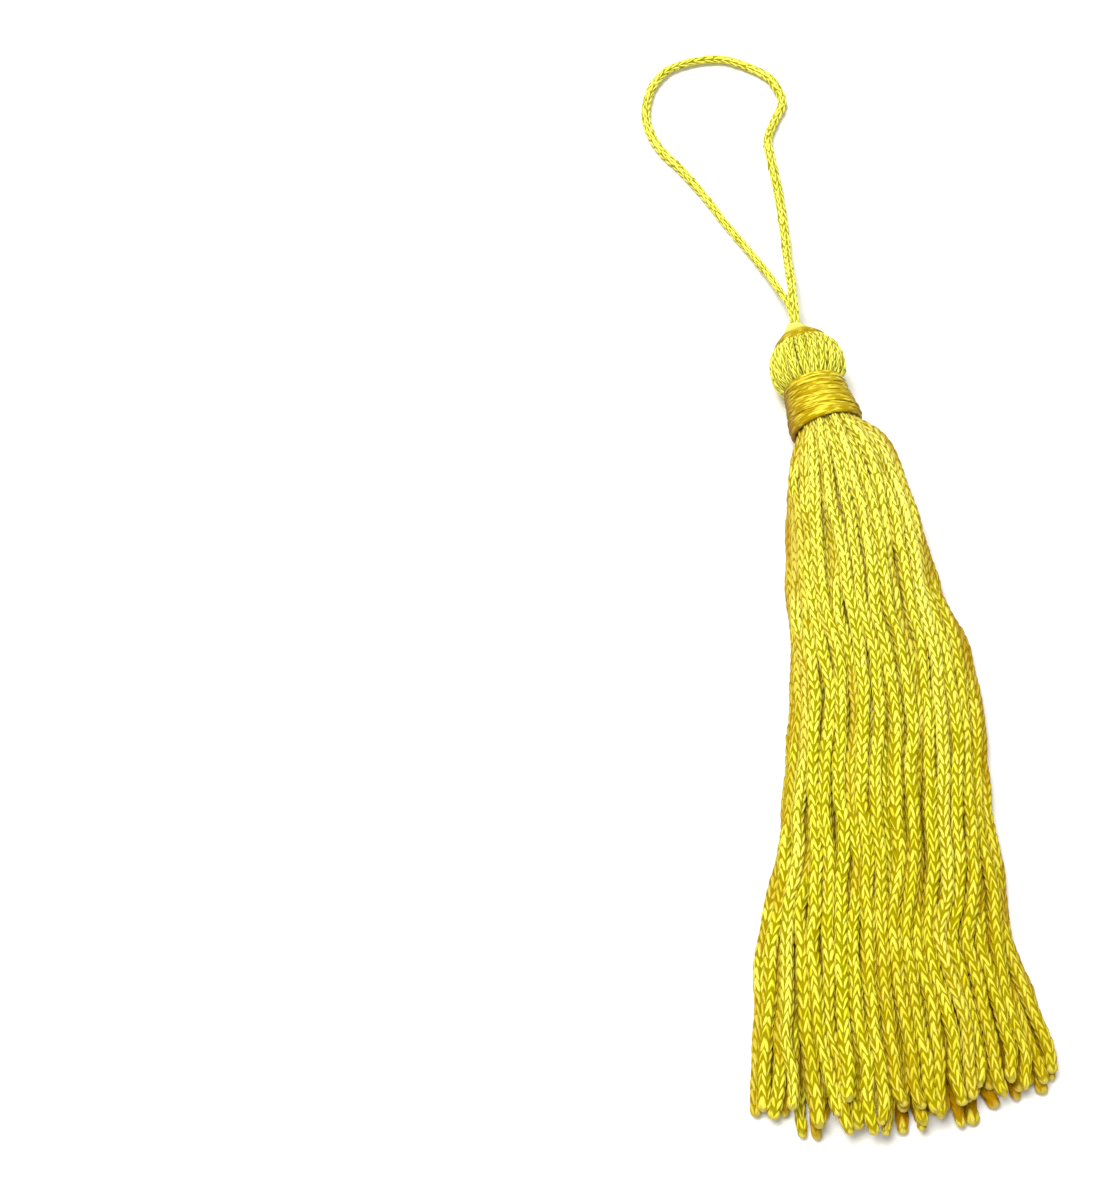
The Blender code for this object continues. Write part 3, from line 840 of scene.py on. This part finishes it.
SECTION_COLUMNS = ("x", "y", "half_width", "underside", "widest_at")
SECTIONS = (
    (-5.0, 43.1, 4.28, 1.22, 5.5),
    (-4.8, 42.2, 4.38, 1.12, 5.5),
    (-4.1, 39.8, 6.80, 0.30, 5.0),
    (-3.0, 37.1, 8.45, 0.00, 4.4),
    (-2.1, 32.4, 9.55, 0.00, 3.4),
    (-1.2, 22.4, 10.8, 0.00, 2.4),
    (-0.6, 13.8, 11.85, 0.00, 1.8),
    (1.1, 4.4, 13.8, 0.00, 1.4),
    (1.3, -5.0, 14.3, 0.00, 1.2),
    (0.3, -15.7, 14.7, 0.00, 1.1),
    (-0.1, -26.1, 16.3, 0.00, 1.0),
    (-1.1, -37.5, 18.2, 0.00, 0.9),
    (-0.6, -47.1, 20.0, 0.00, 0.9),
    (-0.1, -55.7, 21.6, 0.00, 0.9),
    (0.3, -70.0, 23.2, 0.00, 0.9),
)


def smooth_sections():
    """The rows at even steps, and how far down each is. Only x and y count in the distance."""
    rows = np.array([(x, y, 0, *rest) for x, y, *rest in SECTIONS])
    made = smooth_line(rows, STEP)
    down = np.linspace(0, run_of(made)[-1], len(made))
    return np.delete(made, 2, axis=1), down


def sections():
    """The skirt's outline at even steps down from inside the mouth, as arrays by name. It adds
    the top of each section, which follows from the room that the cords need, and how much of
    its full size a cord has there."""
    rows, down = smooth_sections()
    before = np.arange(-EASE, 0, STEP)
    rows = np.concatenate([np.repeat(rows[:1], len(before), axis=0), rows])
    down = np.concatenate([before, down])
    made = dict(zip(SECTION_COLUMNS, rows.T))
    lean = math.radians(HEAD_LEAN)
    made["x"] += np.minimum(down, 0) * math.sin(lean)
    made["y"] -= np.minimum(down, 0) * math.cos(lean)
    need = STRANDS * CORD_WIDTH * CORD_HEIGHT * math.pi / 4 / FILL
    lower = made["widest_at"] - made["underside"]
    upper = 2 * need / (math.pi * made["half_width"]) - lower
    most = np.minimum(HIGHEST - made["widest_at"], made["half_width"])
    made["upper"] = np.minimum(upper, most)
    made["lower"] = lower
    area = math.pi / 2 * made["half_width"] * (made["upper"] + lower)
    made["size"] = np.minimum(1.0, np.sqrt(area / need))
    made["down"] = down
    return made


def spread(at, now, rounds):
    """Pushes cords apart until they only touch, and keeps them inside the section. A row of
    at is one cord: across from the middle, and up from the widest height."""
    cord = np.array([CORD_WIDTH, CORD_HEIGHT]) * now["size"]
    side, upper, lower = np.array([now["half_width"], now["upper"], now["lower"]]) - (
        cord[[0, 1, 1]] / 2
    )
    lies_flat = now["underside"] < 0.01
    for _ in range(rounds):
        between = (at[:, None] - at[None]) / cord
        apart = np.maximum(np.linalg.norm(between, axis=2), 0.01) + np.eye(len(at))
        overlap = np.clip(1 - apart, 0, None) / apart
        at = at + PUSH * (between * overlap[..., None]).sum(axis=1) * cord
        at[:, 0] = np.clip(at[:, 0], -side, side)
        at[:, 1] = np.clip(at[:, 1], -lower, upper)
        reach = np.where(at[:, 1] > 0, upper, lower)
        out = np.hypot(at[:, 0] / side, at[:, 1] / reach)
        if lies_flat:
            out[at[:, 1] <= 0] = 1
        at = at / np.maximum(out, 1)[:, None]
    return at


def cord_paths():
    """The middle line of each cord, as an array of cord, step, and x, y and z."""
    made = sections()
    draw = np.random.default_rng(SEED)
    turn = np.arange(STRANDS) * math.pi * (3 - math.sqrt(5))
    out = np.sqrt((np.arange(STRANDS) + 0.5) / STRANDS)
    first_reach = FIRST_FILL * SECTIONS[0][2]
    at = np.stack([out * np.cos(turn), out * np.sin(turn)], axis=1) * first_reach
    wave_length = draw.uniform(*WAVES, STRANDS)
    phase = draw.uniform(0, 2 * math.pi, STRANDS)
    laid = []
    for k, down in enumerate(made["down"]):
        now = {name: values[k] for name, values in made.items()}
        before = {name: values[max(k - 1, 0)] for name, values in made.items()}
        wider, higher, lower = (
            now[name] / before[name] for name in ("half_width", "upper", "lower")
        )
        at = at * np.stack([np.full(STRANDS, wider), np.where(at[:, 1] > 0, higher, lower)], axis=1)
        at[:, 0] += WANDER * np.cos(2 * math.pi * down / wave_length + phase)
        at[:, 1] -= SINK
        moved = spread(at, now, ROUNDS if k else FIRST_ROUNDS) - at
        at = at + (np.clip(moved, -SHIFT, SHIFT) if k else moved)
        laid.append(at)
    near_mouth = np.clip(1 - made["down"] / MOUTH_REACH, 0, 1)
    laid = np.array(laid).transpose(1, 0, 2) * (1 + MOUTH_SPREAD * near_mouth)[:, None]
    ahead = np.stack([np.gradient(made["x"]), np.gradient(made["y"])], axis=1)
    ahead /= np.linalg.norm(ahead, axis=1)[:, None]
    x = made["x"] - laid[..., 0] * ahead[:, 1]
    y = made["y"] + laid[..., 0] * ahead[:, 0]
    z = made["widest_at"] + laid[..., 1]
    lines = eased(np.stack([x, y, z], axis=2))
    size = made["size"] * (1 + MOUTH_SWELL * near_mouth)
    lines[..., 2] = np.maximum(lines[..., 2], CORD_HEIGHT / 2 * size)
    return lines, size


def eased(lines):
    """The lines again, each point the mean of its neighbours within EASE."""
    reach = round(EASE / STEP)
    share = np.hanning(2 * reach + 3)[1:-1]
    share /= share.sum()
    start = lines[:, :1] + (lines[:, :1] - lines[:, 1 : reach + 1])[:, ::-1]
    end = lines[:, -1:] + (lines[:, -1:] - lines[:, -reach - 1 : -1])[:, ::-1]
    longer = np.concatenate([start, lines, end], axis=1)
    count = lines.shape[1]
    return sum(share[i] * longer[:, i : i + count] for i in range(2 * reach + 1))


def skirt_cords():
    """Each cord's line down to its cut end, and the share of its full size along it."""
    lines, size = cord_paths()
    draw = np.random.default_rng(SEED + 1)
    start = round(EASE / STEP)
    found = []
    for line in lines:
        along = run_of(line)
        along -= along[start]
        for far, *wave in STRAYS:
            swing = np.sin(2 * math.pi * (along / draw.uniform(*wave) + draw.uniform(0, 1)))
            line = line + far * (swing * np.clip(along / EASES_IN, 0, 1))[:, None] * (1, 0, 0.5)
        cut = CUT_LENGTH + np.clip(draw.normal(0, UNEVEN), -2 * UNEVEN, 1.2 * UNEVEN)
        for far, reach in ((ASTRAY, LOOSE), (BENT_BY, BENT)):
            loose = np.clip((along - cut + reach) / reach, 0, 1.2) ** 2
            line = line + (draw.normal(0, far) * loose)[:, None] * (1, 0, 0)
        first = along[0] + draw.uniform(0, STITCH)
        at = np.concatenate([[first], along[(along > first) & (along < cut)], [cut]])
        points = np.stack([np.interp(at, along, line[:, k]) for k in range(3)], axis=1)
        found.append((points, np.interp(at, along, size)))
    return found


def depths(lines):
    """How deep each point of these lines lies under the other lines, from 0 to 1."""
    points = np.concatenate(lines)
    tree = KDTree(len(points))
    for k, (x, y, _) in enumerate(points):
        tree.insert((x, y, 0), k)
    tree.balance()
    found = []
    for x, y, z in points:
        near = [k for _, k, _ in tree.find_range((x, y, 0), UNDER)]
        found.append((points[near, 2].max() - z) / DEEPEST)
    found = np.clip(found, 0, 1)
    return np.split(found, np.cumsum([len(line) for line in lines])[:-1])


laid_cords = skirt_cords()
highest = max(points[:, 2].max() for points, _ in laid_cords)
print(len(laid_cords), "cords, the highest point of any line at", round(highest, 1), "mm")

# %% [markdown]
# ## The skirt
#
# Each cord keeps a turn of its own, and twists slowly on its way down, so that some show a
# whole column of V stitches and others show the gap between two columns. Its tone changes too.
# Light and shade are painted on it: it is paler near the mouth, and more amber where it lies
# under others, at the hem and on the right flank. The skirt is split into five pieces, left to
# right, because one mesh of all its stitches would be unwieldy.

# %% The skirt
SKIRT_PIECES = 5
FATNESS = (1.02, 1.16)  # over 1, because cords are pressed into each other
SLACK = 22.0  # a cord is thinner over this length above its cut end
SLACK_THINS = 0.2  # by up to this share
FLARE = 1.6  # a cut end is a little narrower or wider over this distance
FLARES_BY = (-0.25, 0.14)
SWAY_TURNS = 0.5  # radians, as a cord turns to and fro
SWAY_EVERY = (6, 20)  # millimetres along it for each radian of that wave
TWISTS = 0.02  # radians for each millimetre, at most
PALES = (0, 0.1, 0.3)  # a few cords are paler than the rest
PALE_ODDS = (0.6, 0.3, 0.1)
PALE_AT_MOUTH = 0.6  # painted light: cords are paler near the mouth
PALE_REACH = 65.0  # this far down from the mouth
DEPTH_AMBER = 0.75  # how amber a cord is that gets no light under the others
HEM_AMBER = (0.14, 0.4)  # painted shade: how amber the cords are at the hem, on the left and on the right
# the hem's painted shade differs by chance by up to this much
AMBER_VARIES = 0.1
FLANK_AMBER = 0.4  # and painted shade on the right flank of the skirt, which is turned from the lamp
FLANK_FROM = 0.62  # which starts at this share of the half width


def flank(line):
    """How far out on the right flank each point of a line is, from 0 to 1."""
    rows, _ = smooth_sections()
    x, y, half_width = rows[::-1, 0], rows[::-1, 1], rows[::-1, 2]
    out = (line[:, 0] - np.interp(line[:, 1], y, x)) / np.interp(line[:, 1], y, half_width)
    return np.clip((out - FLANK_FROM) / (1 - FLANK_FROM), 0, 1)


def make_skirt():
    draw = np.random.default_rng(5)
    order = sorted(range(STRANDS), key=lambda k: laid_cords[k][0][-1, 0])
    deep = depths([line for line, _ in laid_cords])
    pieces = []
    for number, members in enumerate(np.array_split(order, SKIRT_PIECES), start=1):
        lines = [laid_cords[k][0] for k in members]
        shares = [laid_cords[k][1] * draw.uniform(*FATNESS) for k in members]
        turns, pales, deeps = [], [], []
        for k, line, share in zip(members, lines, shares):
            run = run_of(line)
            down = run / run[-1]
            pale = draw.choice(PALES, p=PALE_ODDS)
            # Painted light: paler near the mouth.
            pales.append(pale + PALE_AT_MOUTH * np.clip(1 - run / PALE_REACH, 0, 1))
            # Painted shade: amber under other cords, at the hem, more to the right, and on the
            # right flank.
            amber = np.interp(order.index(k), (0, STRANDS), HEM_AMBER)
            amber = amber + draw.uniform(-AMBER_VARIES, AMBER_VARIES)
            amber = amber * down**2 + FLANK_AMBER * (1 - down**2) * flank(line)
            deeps.append(DEPTH_AMBER * deep[k] + amber)
            slack = np.clip(1 - (run[-1] - run) / SLACK, 0, 1)
            # These two lines change the array itself, so its row in shares changes too.
            share *= 1 - draw.uniform(0, SLACK_THINS) * slack
            share *= 1 + draw.uniform(*FLARES_BY) * np.exp((run - run[-1]) / FLARE)
            sway = SWAY_TURNS * np.sin(run / draw.uniform(*SWAY_EVERY) + draw.uniform(0, 6))
            turn = draw.uniform(0, 2 * math.pi)
            turns.append(turn + draw.uniform(-TWISTS, TWISTS) * run + sway)
        ups = [upward(line) for line in lines]
        first = 100 * number
        values = cord_attributes(lines, shares, ups, turns, pales, deeps, first, cut=1)
        pieces.append(
            grown(
                f"skirt_cords_{number}",
                lines_mesh("skirt_cords", lines, **values),
                knitted_cord,
                cord_width=CORD_WIDTH * MM,
                flatness=CORD_HEIGHT / CORD_WIDTH,
                material=chainette,
                seed=number,
            )
        )
    return pieces


skirt = make_skirt()

# %% [markdown]
# ## The head's own axis
#
# The head leans to the side and lies a little nose up, because the bulb is fatter than the neck
# binding. Every piece of it is round, so it is drawn straight, with heights from the mouth of
# the binding, and one matrix then takes it to where it lies.

# %% The head's own axis
MOUTH = Vector((-5.0, 43.1, 5.5)) * MM
HEAD_PITCH = 1.4  # degrees, nose up
HEAD = (
    Matrix.Translation(MOUTH)
    @ Matrix.Rotation(math.radians(HEAD_LEAN), 4, "Z")
    @ Matrix.Rotation(math.radians(HEAD_PITCH - 90), 4, "X")
)
HEAD_TURN = np.array(HEAD.to_3x3())
HEAD_PLACE = np.array(HEAD.translation) / MM


def on_head(out, angle, up):
    """Ways round the head's axis, each this far out at this angle and this far up it."""
    out, angle, up = np.broadcast_arrays(out, angle, up)
    return np.stack([out * np.cos(angle), out * np.sin(angle), up], axis=1) @ HEAD_TURN.T


# %% [markdown]
# ## The bulb
#
# The cords fold over at the top of the head, side by side, so the bulb shows a ring of them.
# They crowd together under the crown and again at the neck, and bulge between. The V stitches
# of most point one way and those of the rest point the other way, because each cord comes up
# on one side of the head and goes down on the other.

# %% The bulb
BULB_CORDS = 20
BULB_ROUTE = (  # radius of a cord's middle line, its height, and its share of full size
    (3.40, 7.0, 0.62),
    (4.20, 8.2, 0.74),
    (4.95, 9.3, 0.88),
    (5.22, 10.5, 0.92),
    (5.28, 11.8, 0.93),
    (5.10, 13.0, 0.90),
    (4.60, 14.1, 0.86),
    (3.90, 15.0, 0.76),
    (3.00, 15.7, 0.60),
)
BULB_SLANT = (0.01, 0.045)  # radians round the head for each millimetre up it
BULB_MIDDLE = 11  # the height at which a cord has its place in the ring
BULB_ODDS = 0.7  # of a cord to run down
# painted light: the bulb's cords are paler
BULB_PALE = 0.4


def make_bulb():
    draw = np.random.default_rng(11)
    rows = smooth_line([(r, h, 0, share) for r, h, share in BULB_ROUTE], 0.4)
    radius, height, _, share = rows.T
    slope = np.gradient(rows[:, :2], axis=0)
    slope /= np.linalg.norm(slope, axis=1)[:, None]
    lines, shares, outwards, turns = [], [], [], []
    for k in range(BULB_CORDS):
        angle = 2 * math.pi * k / BULB_CORDS + draw.uniform(-0.04, 0.04)
        angle = angle + draw.uniform(*BULB_SLANT) * (height - BULB_MIDDLE)
        way = -1 if draw.random() < BULB_ODDS else 1
        lines.append((on_head(radius, angle, height) + HEAD_PLACE)[::way])
        outwards.append(on_head(slope[:, 1], angle, -slope[:, 0])[::way])
        shares.append(share[::way] * draw.uniform(1.02, 1.12))
        turns.append(np.full(len(rows), draw.uniform(0, 2 * math.pi)))
    pales = [BULB_PALE] * BULB_CORDS
    values = cord_attributes(lines, shares, outwards, turns, pales, first=700)
    return grown(
        "bulb_cords",
        lines_mesh("bulb_cords", lines, **values),
        knitted_cord,
        cord_width=CORD_WIDTH * MM,
        flatness=0.8,
        stitch_length=1.45 * MM,
        wales=5,
        slant=1.7 * MM,
        crease=0.3,
        material=chainette,
        seed=9,
    )


bulb = make_bulb()

# %% [markdown]
# ## Turned cores
#
# Under the cords and the floss the head is solid: cords packed tight in the neck and folded
# over each other in the bulb. Little of that shows, and only between turns and cords, so each
# core is a turned shape just below what lies on it.


# %% Turned cores
TURNED_SIDES = 64


def turned(name, profile, material):
    """A closed shape turned about the head's axis, from rows of radius and height. They run up
    its outer side, and start and end on the axis or at one point."""
    shape = bmesh.new()
    points = [shape.verts.new((radius * MM, 0, height * MM)) for radius, height in profile]
    edges = [shape.edges.new(pair) for pair in zip(points, points[1:])]
    bmesh.ops.spin(
        shape,
        geom=points + edges,
        cent=(0, 0, 0),
        axis=(0, 0, 1),
        angle=2 * math.pi,
        steps=TURNED_SIDES,
        use_merge=True,
    )
    bmesh.ops.remove_doubles(shape, verts=shape.verts, dist=0.01 * MM)
    bmesh.ops.recalc_face_normals(shape, faces=shape.faces)
    bmesh.ops.transform(shape, matrix=HEAD, verts=shape.verts)
    mesh = bpy.data.meshes.new(name)
    shape.to_mesh(mesh)
    shape.free()
    mesh.shade_smooth()
    mesh.materials.append(material)
    obj = bpy.data.objects.new(name, mesh)
    bpy.context.scene.collection.objects.link(obj)
    print(f"{name}: {len(mesh.polygons)} faces")
    return obj


BULB_CORE = (  # radius and height
    (0, 0.5),
    (3.9, 0.5),
    (3.5, 7.5),
    (4.4, 8.8),
    (4.9, 10.4),
    (5.0, 11.8),
    (4.8, 13.2),
    (4.0, 14.6),
    (2.6, 15.4),
    (0, 15.5),
)
bulb_core = turned("bulb_core", BULB_CORE, chainette)

# %% [markdown]
# ## The neck binding
#
# The binding is one long thread of floss. It is wound down the neck, then back up in fewer
# turns, and down once more in fewer still, so that they cross at a slant. Below them lies a
# thicker smooth roll of the same floss. Each winding is a line, and the wound floss's tree
# grows its ribbon on it. The sides of the binding turn down from the light, and amber is painted
# there as shade.

# %% The neck binding
NECK_PROFILE = (  # height and radius of the binding's surface
    (0.0, 5.50),
    (0.4, 5.70),
    (2.3, 5.60),
    (3.2, 5.30),
    (4.1, 5.25),
    (5.0, 5.00),
    (5.9, 4.98),
    (6.8, 4.82),
    (7.8, 4.82),
    (8.2, 4.55),
)
TURN_STEP = math.radians(7.5)  # between the points of a winding
TIPS = 0.8  # radians, by which one turn's slant may differ from the next one's
UNEVEN_HEIGHT, UNEVEN_RADIUS = 0.07, 0.05  # no turn lies quite true
INSIDE_LOW, INSIDE_HIGH = 0.12, 0.1  # turns stay this far inside the ends of the profile
LIT_FROM = 0.95  # floss that faces up less than this much gets painted amber shade
PALEST = 0.75  # how pale the painted highlight makes the floss at the top of the crown's collar
PALE_FROM = 16.6  # it starts to be paler this far up the head's axis
PALE_OVER = 1.4  # and is palest this much further up


def winding(profile, start, end, turns, lift, slant, seed):
    """A line of floss wound on a profile from one height to another, and its outward ways.
    lift is how far above the surface it runs, slant is how far each turn sways up and down,
    and seed also says where round the head it starts."""
    draw = np.random.default_rng(seed)
    heights, radii = np.array(profile).T
    angle = np.arange(0, turns * 2 * math.pi, TURN_STEP)
    turn = angle / (2 * math.pi)
    knots = np.arange(turns + 2)
    sway = np.interp(turn, knots, draw.uniform(0.3, 1, len(knots)) * slant)
    tip = np.interp(turn, knots, np.cumsum(draw.uniform(-TIPS, TIPS, len(knots))))
    knots = np.arange(0, turns + 1, 0.2)
    uneven = np.interp(turn, knots, draw.uniform(-1, 1, len(knots)))
    height = start + (end - start) * turn / turns
    height = height + sway * np.sin(angle + tip) + UNEVEN_HEIGHT * uneven
    height = np.clip(height, heights[0] + INSIDE_LOW, heights[-1] - INSIDE_HIGH)
    radius = np.interp(height, heights, radii) + lift + UNEVEN_RADIUS * uneven
    around = on_head(1, angle + seed, 0)
    return on_head(radius, angle + seed, height) + HEAD_PLACE, around


def paleness(line):
    """How pale the floss is at each point of this line: a painted highlight, from none up to
    its palest in the collar."""
    up = (line - HEAD_PLACE) @ HEAD_TURN[:, 2]
    return PALEST * np.clip((up - PALE_FROM) / PALE_OVER, 0, 1)


def make_binding(name, windings):
    """A piece for each winding of floss, with its own width and flatness."""
    made = []
    for number, (width, flatness, (line, around)) in enumerate(windings):
        values = {
            # painted shade on the sides that turn down from the light
            "deep": np.clip(1 - around[:, 2] / LIT_FROM, 0, 1),
            "pale": paleness(line),
            "outward": around,
            "cord": np.full(len(line), 7.0 * number),  # so that no two share their streaks
        }
        made.append(
            grown(
                f"{name}_{number}",
                lines_mesh(name, [line], **values),
                wound_floss,
                floss_width=width * MM,
                flatness=flatness,
                material=satin,
            )
        )
    return made


neck = make_binding(
    "neck_floss",
    (
        (0.72, 0.85, winding(NECK_PROFILE, 8.0, 0.9, 13, -0.26, 0.12, 1)),
        (0.56, 0.80, winding(NECK_PROFILE, 0.9, 7.8, 7, -0.06, 0.9, 2)),
        (0.44, 0.80, winding(NECK_PROFILE, 7.4, 1.6, 5, 0.02, 1.0, 6)),
        (1.15, 0.75, winding(NECK_PROFILE, 0.55, 0.6, 2, -0.42, 0.18, 3)),
    ),
)
NECK_CORE = (  # radius and height
    (5.00, 0.30),
    (5.20, 0.12),
    (5.35, 0.30),
    (5.30, 2.3),
    (5.00, 3.4),
    (4.70, 5.2),
    (4.55, 7.8),
    (4.10, 8.1),
    (3.70, 7.9),
    (4.60, 2.0),
    (5.00, 0.30),
)
neck.append(turned("neck_core", NECK_CORE, satin))

# %% [markdown]
# ## The crown binding
#
# At the crown the floss is wound into a low cone that draws out into a short collar. It grips
# both ends of the loop, and its rim lies close on the bulb.

# %% The crown binding
CROWN_PROFILE = (  # height and radius of the cone's surface
    (15.2, 4.35),
    (15.9, 4.15),
    (16.6, 3.45),
    (17.5, 2.50),
    (18.4, 1.75),
    (19.2, 1.25),
    (19.6, 1.05),
)
crown = make_binding(
    "crown_floss",
    (
        (0.50, 0.55, winding(CROWN_PROFILE, 15.3, 19.5, 13, -0.16, 0.05, 4)),
        (0.42, 0.55, winding(CROWN_PROFILE, 19.5, 15.4, 7, -0.05, 0.25, 5)),
    ),
)
CROWN_FLOSS = 0.22  # how far the core lies below the surface
crown_shell = [(radius - CROWN_FLOSS, height) for height, radius in CROWN_PROFILE]
crown_core = [(0, CROWN_PROFILE[0][0]), *crown_shell, (0, CROWN_PROFILE[-1][0])]
crown.append(turned("crown_core", crown_core, satin))

# %% [markdown]
# ## The table and the light
#
# The table is a plain pale sheet, far larger than the view. One broad lamp hangs above it, a
# little to the left and behind, so that each cord has a bright side and a dark side. A wide
# weak lamp at the front right and a pale sky fill the shadows.

# %% The table and the light
floor_mesh = bpy.data.meshes.new("table_top")
shape = bmesh.new()
bmesh.ops.create_grid(shape, x_segments=1, y_segments=1, size=2.0)  # metres each way
shape.to_mesh(floor_mesh)
shape.free()
floor = bpy.data.objects.new("table_top", floor_mesh)
bpy.context.scene.collection.objects.link(floor)
paper = bpy.data.materials.new("matt_white_card")
paper.use_nodes = True
card = paper.node_tree.nodes["Principled BSDF"]
card.inputs["Base Color"].default_value = linear(FLOOR_WHITE)
card.inputs["Roughness"].default_value = 0.9
floor_mesh.materials.append(paper)
floor.location.z = -0.2 * MM  # because stitches stand proud of the lowest cords


def lamp(name, place, size, energy):
    """A square lamp at this place in metres, facing the tassel."""
    light = bpy.data.lights.new(name, "AREA")
    light.size = size
    light.energy = energy
    obj = bpy.data.objects.new(name, light)
    obj.location = place
    obj.rotation_euler = (-Vector(place)).to_track_quat("-Z", "Y").to_euler()
    bpy.context.scene.collection.objects.link(obj)


lamp("window", (-0.26, 0.1, 0.78), size=0.4, energy=8.2)
lamp("fill", (0.5, -0.6, 0.8), size=0.8, energy=1.6)
sky = bpy.data.worlds.new("studio")
sky.use_nodes = True
sky.node_tree.nodes["Background"].inputs["Color"].default_value = (1, 1, 1, 1)
sky.node_tree.nodes["Background"].inputs["Strength"].default_value = 0.4
bpy.context.scene.world = sky
bpy.context.scene.view_settings.view_transform = "Standard"

# %% [markdown]
# ## Handing over
#
# Every piece rides on the tassel's one body, and the solid that it stands for is hidden.

# %% Handing over
for piece in skirt + [bulb, bulb_core]:
    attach(piece, "root")
    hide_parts("cord_hank")
for piece in neck:
    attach(piece, "root")
    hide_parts("neck_binding")
for piece in crown:
    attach(piece, "root")
    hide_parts("crown_binding")
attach(loop, "root")
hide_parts("hanging_loop")
